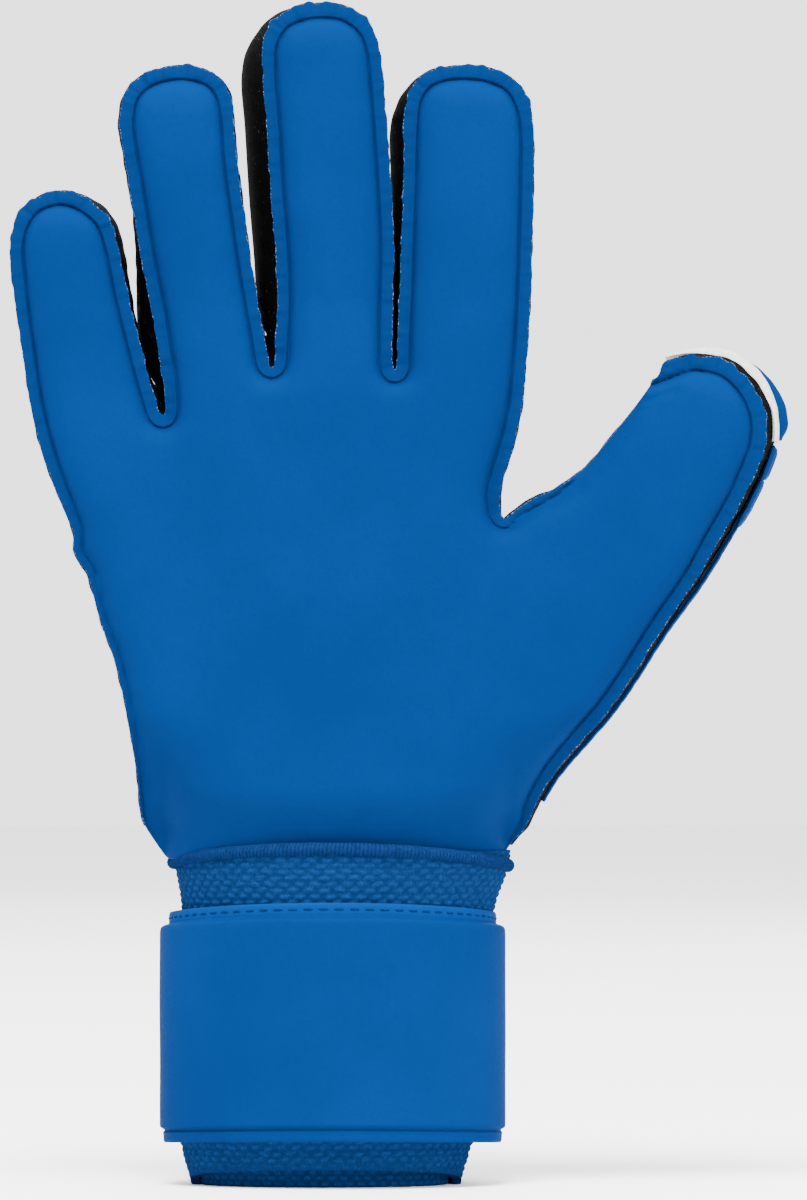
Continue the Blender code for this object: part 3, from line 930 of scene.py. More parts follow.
class Nodes:
    """Builds a node material step by step."""

    def __init__(self, name, colour, roughness):
        self.material = bpy.data.materials.new(name)
        self.material.use_nodes = True
        self.tree = self.material.node_tree
        self.shader = self.tree.nodes["Principled BSDF"]
        self.shader.inputs["Base Color"].default_value = (*colour, 1)
        self.shader.inputs["Roughness"].default_value = roughness
        self.shader.inputs["Specular IOR Level"].default_value = 0.01
        self.bump_input = None

    def node(self, kind, **settings):
        made = self.tree.nodes.new(kind)
        for key, value in settings.items():
            setattr(made, key, value)
        return made

    def link(self, source, target):
        self.tree.links.new(source, target)

    def place(self, stretch=(1, 1, 1)):
        """Object coordinates, stretched."""
        coordinates = self.node("ShaderNodeTexCoord").outputs["Object"]
        mapping = self.node("ShaderNodeMapping")
        mapping.inputs["Scale"].default_value = stretch
        self.link(coordinates, mapping.inputs["Vector"])
        return mapping.outputs["Vector"]

    def value(self, name):
        return self.node("ShaderNodeAttribute", attribute_name=name).outputs["Fac"]

    def noise(self, scale, detail=3.0, rough=0.55):
        made = self.node("ShaderNodeTexNoise")
        made.inputs["Scale"].default_value = scale
        made.inputs["Detail"].default_value = detail
        made.inputs["Roughness"].default_value = rough
        self.link(self.place(), made.inputs["Vector"])
        return made.outputs["Fac"]

    def cells(self, scale, vector=None):
        """The distance from the middle of each of many random cells."""
        made = self.node("ShaderNodeTexVoronoi")
        made.inputs["Scale"].default_value = scale
        self.link(vector or self.place(), made.inputs["Vector"])
        return made.outputs["Distance"]

    def map(self, value, low, high, to_low=0.0, to_high=1.0):
        """The value brought smoothly from one range, low to high, to the other."""
        made = self.node("ShaderNodeMapRange", interpolation_type="SMOOTHSTEP")
        sockets = ("From Min", "From Max", "To Min", "To Max")
        for socket, number in zip(sockets, (low, high, to_low, to_high)):
            made.inputs[socket].default_value = number
        self.link(value, made.inputs["Value"])
        return made.outputs["Result"]

    def math(self, operation, a, b=0.0):
        made = self.node("ShaderNodeMath", operation=operation)
        for socket, source in zip(made.inputs, (a, b)):
            if isinstance(source, (int, float)):
                socket.default_value = source
            else:
                self.link(source, socket)
        return made.outputs["Value"]

    def mix(self, factor, a, b):
        """Colour a where the factor is 0 and b where it is 1. Either is a colour or a socket."""
        made = self.node("ShaderNodeMix", data_type="RGBA")
        self.link(factor, made.inputs["Factor"])
        for socket, source in zip((made.inputs[6], made.inputs[7]), (a, b)):
            if isinstance(source, bpy.types.NodeSocket):
                self.link(source, socket)
            else:
                socket.default_value = (*source[:3], 1)
        return made.outputs[2]

    def bump(self, height, distance_mm, strength=1.0):
        made = self.node("ShaderNodeBump")
        made.inputs["Strength"].default_value = strength
        made.inputs["Distance"].default_value = distance_mm * MM
        self.link(height, made.inputs["Height"])
        if self.bump_input:
            self.link(self.bump_input, made.inputs["Normal"])
        self.bump_input = made.outputs["Normal"]
        self.link(self.bump_input, self.shader.inputs["Normal"])

    def colour(self, socket):
        self.link(socket, self.shader.inputs["Base Color"])

    def rough(self, socket):
        self.link(socket, self.shader.inputs["Roughness"])

    def set(self, **values):
        """Values of the shader's inputs, by their names with _ for a space."""
        for key, value in values.items():
            self.shader.inputs[key.replace("_", " ")].default_value = value


def shade(colour, factor):
    """The colour made darker or lighter by a factor."""
    return tuple(min(1.0, c * factor) for c in colour[:3])


def latex(name, base, edge_kind="plain"):
    """Matt foam latex: a fine open grain and soft mottling.

    A seamed edge has painted shade on its flange and in its furrow, a painted shadow on the flange
    under the crown and a painted highlight on the crown where the edge faces up, and pale fibres.
    A lipped one has a painted highlight along its top.
    """
    made = Nodes(name, base, 0.62)
    cloud = made.noise(22, 3)
    tone = made.mix(made.map(cloud, 0.35, 0.7), shade(base, 0.93), shade(base, 1.06))
    grain = made.noise(1900, 2, 0.7)
    tone = made.mix(made.map(grain, 0.45, 0.75, 0, 0.35), tone, shade(base, 0.72))
    pits = made.cells(1100)
    if edge_kind == "seamed":
        edge, flange, upward = made.value("edge_mm"), made.value("flange"), made.value("upward")
        inner = made.math("SUBTRACT", edge, made.math("MULTIPLY", flange, FLANGE))
        # painted shade: the flange is darker than the skin inside the seam
        tone = made.mix(made.map(inner, 0.1, -0.6, 0, 0.8), tone, shade(base, 0.78))
        # painted shade in the seam's furrow, where the flange is wide
        furrow = made.math("MULTIPLY", made.map(inner, -0.9, -0.05), made.map(inner, 0.9, 0.1))
        furrow = made.math("MULTIPLY", furrow, made.map(flange, 0.5, 1.0, 0.0, 0.2))
        tone = made.mix(furrow, tone, shade(base, 0.42))
        # painted shadow on the flange's inner half, under the crown, strongest where the edge faces
        # up
        flange_shadow = made.math("MULTIPLY", made.map(inner, -2.3, -1.2), made.map(inner, 0.3, -0.1))
        flange_shadow = made.math("MULTIPLY", flange_shadow, made.map(upward, 0.2, 0.9, 0.1, 0.5))
        tone = made.mix(flange_shadow, tone, shade(base, 0.55))
        # painted highlight on the crown just inside the seam, where the edge faces up
        crown = made.math("MULTIPLY", made.map(inner, 0.2, 1.5), made.map(upward, 0.1, 1.0))
        tone = made.mix(made.math("MULTIPLY", crown, 0.7), tone, shade(base, 1.25))
        fibre = made.map(made.noise(2300, 2, 0.8), 0.56, 0.64)
        fringe = made.math("MULTIPLY", made.map(edge, 0.35, 0.05), fibre)
        tone = made.mix(made.math("MULTIPLY", fringe, 0.5), tone, (0.22, 0.30, 0.38))
    if edge_kind == "lipped":
        below_top = made.value("below_top_mm")
        # painted highlight along the lip at the strap's top
        lip = made.map(below_top, LIP_HEIGHT + 0.2, LIP_HEIGHT - 0.5)
        tone = made.mix(lip, tone, shade(base, 1.3))
    made.colour(tone)
    made.rough(made.map(grain, 0.3, 0.8, 0.52, 0.72))
    made.bump(made.noise(330, 4, 0.6), 0.12, 0.35)
    made.bump(pits, 0.08, 0.35)
    made.set(Specular_Tint=BLUE_SHEEN)
    return made.material


def textile(name, base, pitch_mm, fleck):
    """Knitted textile: rows of loops by place along and across the piece, with fuzz between them."""
    made = Nodes(name, base, 0.85)
    along = made.math("MULTIPLY", made.value("round_mm"), 2 * math.pi / pitch_mm)
    deep = made.math("MULTIPLY", made.value("deep_mm"), 2 * math.pi / (pitch_mm * 0.8))
    loops = made.math("MULTIPLY", made.math("SINE", along), made.math("SINE", deep))
    fuzz = made.noise(2600, 3, 0.75)
    tone = made.mix(made.map(loops, -0.6, 0.9), shade(base, 0.5), shade(base, 1.5))
    specks = made.map(made.noise(1500, 2, 0.8), 0.68, 0.76)
    tone = made.mix(made.math("MULTIPLY", specks, 0.35), tone, fleck)
    made.colour(tone)
    made.bump(loops, 0.12, 0.6)
    made.bump(fuzz, 0.1, 0.5)
    made.set(Specular_IOR_Level=0.02)
    return made.material


def mesh_cloth(name, base):
    """Padded air mesh: a honeycomb of small dark holes in a smooth knitted face."""
    made = Nodes(name, base, 0.8)
    flat = made.place((1, 0.02, 1))
    holes = made.cells(520, flat)
    tone = made.mix(made.map(holes, 0.12, 0.35), shade(base, 0.35), shade(base, 1.5))
    fuzz = made.noise(2400, 3, 0.7)
    tone = made.mix(made.map(fuzz, 0.4, 0.8, 0, 0.4), tone, shade(base, 0.5))
    made.colour(tone)
    made.bump(made.map(holes, 0.1, 0.4), 0.3, 0.7)
    made.bump(fuzz, 0.08, 0.5)
    made.set(Specular_IOR_Level=0.06)
    return made.material


def knit(name, base):
    """Elastic knit: raised dashes carry a painted highlight and the ground a painted shade; all is
    fuzzy.
    """
    made = Nodes(name, base, 0.85)
    relief = made.value("relief")
    # painted highlight on the raised dashes and painted shade on the ground between them
    tone = made.mix(made.map(relief, 0.0, 1.0), shade(base, 0.78), shade(base, 1.12))
    fuzz = made.noise(1900, 3, 0.8)
    tone = made.mix(made.map(fuzz, 0.5, 0.3, 0, 0.6), tone, shade(base, 0.45))
    tone = made.mix(made.map(fuzz, 0.55, 0.72, 0, 0.7), tone, shade(base, 2.1))
    heather = made.noise(460, 3, 0.7)
    tone = made.mix(made.map(heather, 0.45, 0.7, 0, 0.5), tone, shade(base, 0.6))
    made.colour(tone)
    made.bump(fuzz, 0.12, 0.6)
    made.set(Specular_Tint=BLUE_SHEEN)
    return made.material


def white_panel(name, base):
    """Off-white embossed latex: rows of small dots, darker between them, with patchy grime."""
    made = Nodes(name, base, 0.6)
    dots = made.cells(620, made.place((1, 0.3, 1)))
    tone = made.mix(made.map(dots, 0.1, 0.5), shade(base, 1.03), shade(base, 0.8))
    grime = made.noise(130, 4, 0.6)
    tone = made.mix(made.map(grime, 0.5, 0.75, 0, 0.35), tone, shade(base, 0.62))
    made.colour(tone)
    made.bump(made.map(dots, 0.45, 0.1), 0.15, 0.5)
    made.bump(made.noise(1800, 2, 0.6), 0.05, 0.5)
    return made.material


def hook_cloth(name, base):
    """Hook and loop tape: a dense pile of tiny hooks in rows."""
    made = Nodes(name, base, 0.9)
    pile = made.cells(1500)
    tone = made.mix(made.map(pile, 0.1, 0.6), shade(base, 2.2), shade(base, 0.4))
    made.colour(tone)
    made.bump(pile, 0.4, 0.8)
    made.bump(made.noise(3000, 2, 0.7), 0.1, 0.5)
    made.set(Specular_IOR_Level=0.05)
    return made.material


def thread(name, base):
    """Sewing thread: fine strands with a slight shine."""
    made = Nodes(name, base, 0.55)
    strands = made.noise(2600, 2, 0.6)
    made.colour(made.mix(made.map(strands, 0.35, 0.7), shade(base, 0.6), shade(base, 1.3)))
    made.bump(strands, 0.08, 0.6)
    return made.material


def floor_finish(name, base):
    """Matt painted board with a faint unevenness."""
    made = Nodes(name, base, 0.9)
    cloud = made.noise(3, 3)
    made.colour(made.mix(made.map(cloud, 0.3, 0.7), shade(base, 0.985), shade(base, 1.01)))
    made.bump(made.noise(60, 3), 0.2, 0.05)
    return made.material


@lru_cache(maxsize=None)
def finish(name):
    """The finish of this name, made once."""
    colours = bpy.context.scene.glove_colours
    recipes = {
        "palm_latex": lambda: latex("palm_latex", colours.latex, "seamed"),
        "strap_latex": lambda: latex("strap_latex", colours.strap, "lipped"),
        "pad_latex": lambda: latex("pad_latex", colours.latex),
        "gusset": lambda: textile("gusset_textile", colours.gusset, 1.1, (0.25, 0.25, 0.27)),
        "back": lambda: mesh_cloth("back_mesh", colours.back),
        "white": lambda: white_panel("white_latex", colours.white),
        "knit": lambda: knit("elastic_knit", colours.knit),
        "roll": lambda: knit("overlock_thread", colours.roll),
        "hook": lambda: hook_cloth("hook_and_loop", colours.hook),
        "stitch": lambda: thread("stitching", colours.stitch),
        "floor": lambda: floor_finish("floor_board", colours.floor),
    }
    return recipes[name]()


# ---------------------------------------------------------------- properties


def length_property(label, description, metres):
    return FloatProperty(name=label, description=description, default=metres, unit="LENGTH")


def colour_property(label, description, tone):
    return FloatVectorProperty(name=label, description=description, default=tone, subtype="COLOR")


class GloveSizes(bpy.types.PropertyGroup):
    """Sizes of the glove's layers, in metres."""

    lip: length_property("Flange lip", "Height of the flange above the seam", 0.0009)
    pucker: length_property("Puckers", "Height of the small folds on the flange", 0.00032)
    skin: length_property("Skin rise", "Rise of the latex just inside the seam", 0.0018)
    swell: length_property("Swell", "How far the filled palm swells", 0.0052)
    palm: length_property("Palm thickness", "Latex, foam and lining together", 0.003)
    back: length_property("Back thickness", "Thickness of the padded back", 0.0026)
    gusset: length_property("Gusset thickness", "Thickness of the side walls", 0.0008)
    bulge: length_property("Gusset bulge", "How far the side walls belly out", 0.0012)
    knit_row: length_property("Knit rows", "Distance between rows of the knit", 0.0016)
    knit_stitch: length_property("Knit stitch", "Length of one dash of the knit", 0.0031)
    knit_relief: length_property("Knit relief", "Height of the knit's dashes", 0.00042)
    strap: length_property("Strap thickness", "Thickness of the wrist strap", 0.004)


class GloveColours(bpy.types.PropertyGroup):
    """Base colours of the glove's materials."""

    latex: colour_property("Latex", "Palm latex", (0.0, 0.0137, 0.0675))
    strap: colour_property("Strap", "Wrist strap latex", (0.0, 0.0157, 0.077))
    gusset: colour_property("Gusset", "Side wall textile", (0.0008, 0.0008, 0.001))
    back: colour_property("Back", "Padded back textile", (0.003, 0.0032, 0.0036))
    white: colour_property("White", "White latex panels", (0.52, 0.51, 0.49))
    knit: colour_property("Knit", "Elastic wristband", (0.0028, 0.0172, 0.066))
    roll: colour_property("Seam roll", "Overlocked roll", (0.0024, 0.0112, 0.045))
    hook: colour_property("Hook", "Hook and loop", (0.003, 0.003, 0.003))
    stitch: colour_property("Stitch", "Strap stitching", (0.0, 0.0122, 0.0595))
    floor: colour_property("Floor", "Floor under the glove", (0.86, 0.86, 0.86))


# ---------------------------------------------------------------- bands round the wrist


def ellipse(angle, outward, centre_x=0.0):
    """Places round the wrist at an angle in degrees, this far outside the cuff's surface."""
    turn = np.radians(angle)
    x = centre_x + (CUFF["half_width"] + outward) * np.cos(turn)
    return x, (CUFF["half_depth"] + outward) * np.sin(turn)


def palm_rise(angle, height, power=1.3):
    """How far an edge rises at an angle: a power of a sine, highest amid the palm side."""
    return height * np.clip(-np.sin(np.radians(angle)), 0, 1) ** power


def perimeter(outward=0.0):
    """Length round the ellipse this far outside the cuff, by Ramanujan's formula."""
    a, b = CUFF["half_width"] + outward, CUFF["half_depth"] + outward
    return math.pi * (3 * (a + b) - math.sqrt((3 * a + b) * (a + 3 * b)))


def swept(angles, profile, low, high, values=None):
    """A closed band: a ring of (height share, outward) points carried round the wrist.

    low and high are the heights of the band's edges, at each angle or at all of them.
    """
    share, outward = profile[..., 0], profile[..., 1]
    if share.ndim == 1:
        share, outward = share[:, None], outward[:, None]
    share, outward = np.broadcast_arrays(share, outward + np.zeros((1, len(angles))))
    x, y = ellipse(angles[None], outward, STRAP_X)
    points = np.stack([x, y, low + (high - low) * share], -1)
    body = grid_surface(points, values, closed_v=True)
    return oriented(capped(body, *points.shape[:2]))


def capped(surface, rows, columns):
    """A tube made from a grid, with one face over each of its two open ends."""
    first = np.arange(rows) * columns
    corners = np.concatenate([surface.corners, first, (first + columns - 1)[::-1]])
    sizes = np.append(surface.sizes, [rows, rows])
    return Surface(surface.points, corners, sizes, surface.values)


def oriented(surface):
    """The surface with its faces turned outwards, judged by the volume that it encloses."""
    volume = (surface.face_areas() * surface.centres()).sum()
    return surface.turned_over() if volume < 0 else surface


def round_profile(height, thickness, outward, corner, spacing):
    """A rounded rectangle as (height share, outward), with points this close on its straight sides.

    Its outer side stands this far outside the cuff, and its thickness goes inwards from there.
    """
    turns = np.radians(np.linspace(0, 90, 5))
    top, outer, inner = height - corner, outward - corner, outward - thickness + corner
    points = []
    middles = ((0, top, outer), (90, top, inner), (180, corner, inner), (270, corner, outer))
    for base, z, out in middles:
        angle = turns + math.radians(base)
        points += list(zip(z + corner * np.sin(angle), out + corner * np.cos(angle)))
    points = np.array(points)
    points[:, 0] /= height
    result = []
    for here, after in zip(points, np.roll(points, -1, 0)):
        run = math.hypot((after[0] - here[0]) * height, after[1] - here[1])
        count = max(1, int(run / spacing))
        result += [here + (after - here) * k / count for k in range(count)]
    return np.array(result)


class GLOVE_OT_palm(bpy.types.Operator):
    """The latex palm: one sheet over hand, fingers and thumb, parted at the creases"""

    bl_idname = "glove.palm"
    bl_label = "Palm latex"

    def execute(self, context):
        make_sections(
            "palm_latex",
            front_surface(),
            size("palm"),
            finish("palm_latex"),
            lambda made, piece: made,
            lambda section: ["palm" if section == "hand" else f"{section}_palm"],
            sharp=55.0,
            face=-1.0,
        )
        return {"FINISHED"}


class GLOVE_OT_back(bpy.types.Operator):
    """The padded textile back of the hand, fingers and thumb"""

    bl_idname = "glove.back"
    bl_label = "Padded back"

    def execute(self, context):
        make_sections(
            "back_textile",
            back_surface(),
            size("back"),
            finish("back"),
            lambda made, piece: made,
            lambda section: ["backhand" if section == "hand" else f"{section}_back"],
            sharp=55.0,
            face=1.0,
        )
        return {"FINISHED"}


class GLOVE_OT_gussets(bpy.types.Operator):
    """The textile side walls between palm and back, round the whole cut edge"""

    bl_idname = "glove.gussets"
    bl_label = "Gussets"

    def execute(self, context):
        start, end = sample_near(-46.9, 90.2), sample_near(44.6, 85.4)
        shares = np.linspace(0, 1, 15)
        wall = cut_at_creases(wall_surface(start, end, shares, size("bulge")))

        def declare(made, piece):
            area = piece.area() * MM * MM

        def stands_for(section):
            if section == "hand":
                between = ("little_ring", "ring_middle", "middle_index")
                outer = ["heel_gusset", "thumb_web_gusset", "thumb_edge_gusset"]
                return [f"fourchette_{pair}" for pair in between] + outer
            if section.endswith("lower"):
                return [f"{section}_gusset_left", f"{section}_gusset_right"]
            return [f"{section}_gusset"]

        thickness, material = size("gusset"), finish("gusset")
        make_sections("gusset", wall, thickness, material, declare, stands_for)
        return {"FINISHED"}


def wrap_strip(first, last, outwards, shares, lead, reach):
    """A strip wrapped round the edge: a profile carried along the edge from one place to another.

    The profile is given by how far outside the cut edge it runs and its share of the depth. Lead
    scales where it starts, and reach how far out it goes on from there, by the share of the way.
    """
    edge = cut_edge()
    pick = np.arange(sample_near(*first), sample_near(*last) + 1)
    base, outward = edge["points"][pick], -edge["inward"][pick]
    count = len(shares)
    fine = np.linspace(0, count - 1, 6 * count)
    out, share = (np.interp(fine, np.arange(count), column) for column in (outwards, shares))
    kernel = np.array([1, 2, 3, 2, 1]) / 9
    out, share = (np.convolve(np.pad(c, 2, "edge"), kernel, "valid")[:, None] for c in (out, share))
    way = np.linspace(0, 1, len(pick))
    out = out[0] * lead(way)[None] + (out - out[0]) * reach(way)[None]
    out = out + 0.08 * ripple(edge["distance"][pick], (3.0, 5.0, 8.0), 6)[None]
    front_y = -(rest_depth(*base.T, FRONT_DEPTH) - WALL_SINK)
    back_y = rest_depth(*base.T, BACK_DEPTH) - 1.0
    flat = base[None] + outward[None] * out[..., None]
    y = front_y[None] * (1 - share) + back_y[None] * share
    points = np.stack([flat[..., 0], y, flat[..., 1]], -1)
    values = {"round_mm": np.broadcast_to(edge["distance"][pick], y.shape)}
    return grid_surface(points[:, ::-1], {n: v[:, ::-1] for n, v in values.items()})


def segments(way, runs, heights):
    """Bulges in a row: over each run of the way, a height times a flat-topped arch."""
    total = np.zeros_like(way)
    starts = np.concatenate([[0], np.cumsum(runs)]) / sum(runs)
    for low, high, height in zip(starts, starts[1:], heights):
        turn = np.clip(2 * (way - low) / (high - low) - 1, -1, 1)
        total = np.maximum(total, height * (1 - np.abs(turn) ** 5) ** 0.5)
    return total


class GLOVE_OT_thumb_wrap(bpy.types.Operator):
    """The thumb's back panel, which comes round its outer side: white, with a blue outer edge"""

    bl_idname = "glove.thumb_wrap"
    bl_label = "Thumb wrap"

    def execute(self, context):
        blue = ("pad_latex", "latex_blue")
        pieces = (
            (
                "thumb_wrap_white",
                ((84.5, 206.9), (108.7, 186.5)),
                (1.3, 2.3, 3.2, 3.4, 3.2, 2.5, 0.6),
                (0.30, 0.31, 0.35, 0.45, 0.7, 0.98, 1.05),
                lambda way: (
                    0.15 + 0.45 * smoothstep(0.42, 0.6, way) + 0.6 * smoothstep(0.55, 0.85, way)
                ),
                lambda way: 0.1 + 0.9 * smoothstep(0, 0.5, way) - 0.62 * smoothstep(0.55, 0.9, way),
                ("white", "backhand_white"),
            ),
            (
                "thumb_wrap_blue",
                ((100.0, 205.8), (108.7, 187.4)),
                (2.3, 3.9, 4.9, 5.1, 4.9, 4.0, 1.6),
                (0.46, 0.47, 0.53, 0.66, 0.86, 1.02, 1.08),
                lambda way: 0.5 + 0.5 * smoothstep(0.0, 0.25, way),
                lambda way: (
                    0.05 + 0.9 * smoothstep(-0.05, 0.75, way) - 0.6 * smoothstep(0.8, 1, way) ** 2
                ),
                blue,
            ),
            (
                "thumb_side_blue",
                ((108.4, 185.5), (52.0, 97.0)),
                (1.5, 2.0, 2.6, 2.9, 2.8, 2.2, 0.4),
                (0.36, 0.37, 0.46, 0.62, 0.85, 1.0, 1.06),
                lambda way: 1 - 0.6 * smoothstep(0.15, 0.6, way),
                lambda way: 0.2 + segments(way, (9, 14, 90), (0.8, 0.7, 0.3)) * (1 - 0.6 * way),
                blue,
            ),
        )
        for name, ends, outward, shares, lead, reach, (colour, slot) in pieces:
            strip = cut_at_creases(wrap_strip(*ends, outward, shares, lead, reach))
            make_sections(name, strip, 1.0, finish(colour), lambda made, piece: None)
        return {"FINISHED"}


def pad(name, body, centre, along, extent, rise, colour, slot, grooves):
    """A raised latex panel on the back: a rounded rectangle whose edge falls like a quarter circle.

    Its height is a low border plus a core, each the square root of one less a high power of the
    distance from its middle, less a furrow at each flex groove across it.
    """
    steps = np.linspace(-1, 1, 45)
    u, v = np.meshgrid(steps, steps, indexing="ij")
    power = 5
    radius = np.maximum(np.maximum(np.abs(u), np.abs(v)), 1e-6)
    norm = (np.abs(u) ** power + np.abs(v) ** power) ** (1 / power)
    u, v = u * radius / np.maximum(norm, 1e-6), v * radius / np.maximum(norm, 1e-6)
    half_wide, half_long = extent[0] / 2, extent[1] / 2
    side = np.array([along[1], -along[0]])
    x = centre[0] + u * half_wide * side[0] + v * half_long * along[0]
    z = centre[1] + u * half_wide * side[1] + v * half_long * along[1]
    border = np.clip(1 - radius**10, 0, 1) ** 0.5
    core = np.clip(1 - (radius / 0.84) ** 8, 0, 1) ** 0.5
    dome = 0.4 * border + 0.6 * core
    across = np.linspace(-1, 1, grooves + 2)[1:-1]
    furrows = sum(np.exp(-(((v - at) * half_long / 0.6) ** 2)) for at in across)
    swell, hem = back_swell(x, z)
    ground = rest_depth(x, z, BACK_DEPTH) + swell * hem
    y = ground - 1.0 + 1.0 * border + rise * dome - 0.7 * furrows * core
    top = grid_surface(np.stack([x, y, z], -1))
    top.values["normal"] = np.tile([0.0, 1.0, 0.0], (len(top.points), 1))
    depth = (y - ground + 1.6).ravel()
    made = build(name, oriented(top.solid(depth)), finish(colour), 50)
    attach(made, body)


class GLOVE_OT_pads(bpy.types.Operator):
    """The raised panels on the back: segmented on each finger, long ones over the hand"""

    bl_idname = "glove.pads"
    bl_label = "Back panels"

    def execute(self, context):
        white, blue = ("white", "backhand_white"), ("pad_latex", "latex_blue")
        widths = {"little": 15, "ring": 17, "middle": 18, "index": 20, "thumb": 19}
        ends = {"little": 16, "ring": 25, "middle": 34, "index": 27, "thumb": 17}
        shifts = {"little": 1.0, "ring": -0.6, "middle": -3.6, "index": -1.0, "thumb": 1.8}
        for name in FINGERS:
            start, along, middle = creases()[name]
            side = np.array([along[1], -along[0]]) * shifts[name]
            clear = CREASE_REACH - 1.5
            spans = {"lower": (clear, middle - clear), "tip": (middle + clear, middle + ends[name])}
            for part, (low, high) in spans.items():
                body = f"{name}_{part}"
                centre = start + along * (low + high) / 2 + side
                extent = (widths[name], high - low)
                pad(f"{body}_pad", body, centre, along, extent, 1.5, *white, int(high - low > 18))
        hand = (
            ("knuckle_pad_little", (-55.5, 187.0), (-0.12, 0.993), (18, 17), white, 1),
            ("knuckle_pad_ring", (-29.5, 190.0), (-0.08, 0.997), (21, 21), white, 1),
            ("knuckle_pad_middle", (-2.0, 191.0), (-0.03, 1.0), (22, 21), white, 1),
            ("knuckle_pad_index", (27.0, 190.0), (0.02, 1.0), (24, 21), white, 1),
            ("hand_panel_outer", (-40.0, 146.0), (-0.22, 0.975), (22, 52), blue, 3),
            ("hand_panel_middle", (-11.0, 145.0), (-0.07, 0.998), (25, 60), blue, 4),
            ("hand_panel_inner", (19.0, 145.0), (0.10, 0.995), (24, 60), blue, 4),
            ("thumb_root_panel", (58.0, 138.0), (0.62, 0.785), (26, 40), blue, 2),
            ("wrist_panel", (0.0, 103.0), (0.0, 1.0), (58, 14), white, 0),
        )
        for name, centre, along, extent, look, grooves in hand:
            pad(name, "hand", centre, along, extent, 1.6, *look, grooves)
        return {"FINISHED"}


def knit_dashes(column, level):
    """Staggered dashes in rows: a clipped cosine along the row times an arch across it, 0 to 1."""
    row = np.floor(level)
    dash = np.clip(1.8 * np.cos(2 * math.pi * (column + 0.5 * (row % 2))) + 1.2, 0, 1)
    return dash * np.sin(math.pi * np.clip(level - row, 0, 1)) ** 0.9


class GLOVE_OT_wristband(bpy.types.Operator):
    """The elastic knitted wristband, with staggered dashes in rows, inside and out"""

    bl_idname = "glove.wristband"
    bl_label = "Wristband"

    def execute(self, context):
        around = int(perimeter() / size("knit_stitch"))
        columns = around * 5
        angles = np.arange(columns) * 360 / columns
        wall = 2.2
        low = palm_rise(angles, 4.6, 0.5)
        column = angles[None] / 360 * around
        side = np.cos(np.radians(angles))[None]

        def band(rows):
            """Heights, how far outside the cuff, sideways shift and lip, for this many rows."""
            z = low[None] + (HEM - low)[None] * np.linspace(0, 1, rows)[:, None]
            foot = -3.0 * (1 - smoothstep(9.0, 15.0, z)) - 2.8 * (1 - smoothstep(-2.0, 10.5, z))
            lip = smoothstep(3.2, 0.0, z - low[None])
            flare = (2.1 + 1.6 * np.clip(side, 0, 1)) * smoothstep(68.0, 83.0, z) + 0.35 * lip
            slack = 0.35 * ripple(column / around * perimeter(), perimeter() / np.array([3, 7]), 2)
            shift = 1.4 * smoothstep(40, 80, z) - 1.9 * (1 - smoothstep(6, 30, z))
            return z, foot + flare + slack, shift, lip

        z, outward, shift, lip = band(int(HEM / size("knit_row")) * 4)
        wander = 0.22 * ripple(column, (around / 23, around / 41, around / 67), 8)
        wander = wander + 0.16 * mottle(column, z, 9.0, 27)
        shaken = column + 0.35 * mottle(column, z, 13.0, 28)
        relief = knit_dashes(shaken, z / size("knit_row") + wander) * (1 - lip * 0.7)
        raised = outward + size("knit_relief") * relief
        outer = np.stack([*ellipse(angles[None], raised, shift), z], -1)
        z, outward, shift, _ = band(24)
        inner = np.stack([*ellipse(angles[None], outward - wall, shift), z], -1)
        points = np.concatenate([outer, inner[::-1]], 0)
        both = np.concatenate([relief, np.full(inner.shape[:2], 0.5)], 0)
        tube = grid_surface(points, {"relief": both}, closed_u=True, closed_v=True)
        made = build("wristband_knit", oriented(tube), finish("knit"), 60)
        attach(made, "hand")
        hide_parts("wristband")
        self.inner_hem()
        return {"FINISHED"}

    def inner_hem(self):
        """The hem inside the foot: a band set in behind the rim that reaches down to the floor."""
        angles = np.linspace(-176, -4, 400)
        height, thickness, shift = 9.0, 1.2, -1.9
        share = np.linspace(0, 1, 48)[:, None]
        z = np.broadcast_to(share * height + 0.15, (len(share), len(angles)))
        column = angles[None] / 360 * perimeter() / size("knit_stitch")
        relief = knit_dashes(column, z / size("knit_row"))
        taper = np.broadcast_to(-8.4 + 2.6 * share, z.shape)
        outer = np.stack([*ellipse(angles[None], taper + 0.4 * relief, shift), z], -1)
        inner = np.stack([*ellipse(angles[None], taper - thickness, shift), z], -1)
        values = {"relief": np.concatenate([relief, np.zeros_like(relief)])}
        band = grid_surface(np.concatenate([outer, inner[::-1]]), values, closed_v=True)
        band = capped(band, 2 * len(share), len(angles))
        made = build("wristband_inner_hem", oriented(band), finish("knit"), 60)
        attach(made, "hand")


class GLOVE_OT_seam_roll(bpy.types.Operator):
    """The overlocked roll that joins the wristband to the hand, wound with thread"""

    bl_idname = "glove.seam_roll"
    bl_label = "Seam roll"

    def execute(self, context):
        pitch, around = 0.8, 14
        girth = perimeter(2)
        threads = int(girth / pitch)
        columns = threads * 6
        angle = np.arange(columns) * 360 / columns
        turn = np.linspace(0, 2 * math.pi, around, endpoint=False)[:, None]
        wound = angle[None] / 360 * threads - turn / (2 * math.pi)
        relief = np.abs(np.cos(math.pi * wound)) ** 0.8
        lumps = 0.08 * ripple(angle / 360 * girth, (girth / 9, girth / 23), 4)
        radius = 1.5 + lumps + 0.25 * relief
        side = np.clip(np.cos(np.radians(angle)), 0, 1)
        height = 80.9 + palm_rise(angle, 4.0) - 0.8 * side
        x, y = ellipse(angle[None], 2.2 + 1.5 * side + radius * np.cos(turn), 1.4)
        z = height[None] + radius * np.sin(turn)
        tube = grid_surface(np.stack([x, y, z], -1), {"relief": relief}, closed_u=True, closed_v=True)
        made = build("wristband_overlock", oriented(tube), finish("roll"), 60)
        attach(made, "hand")
        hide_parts("wristband_seam_roll")
        return {"FINISHED"}


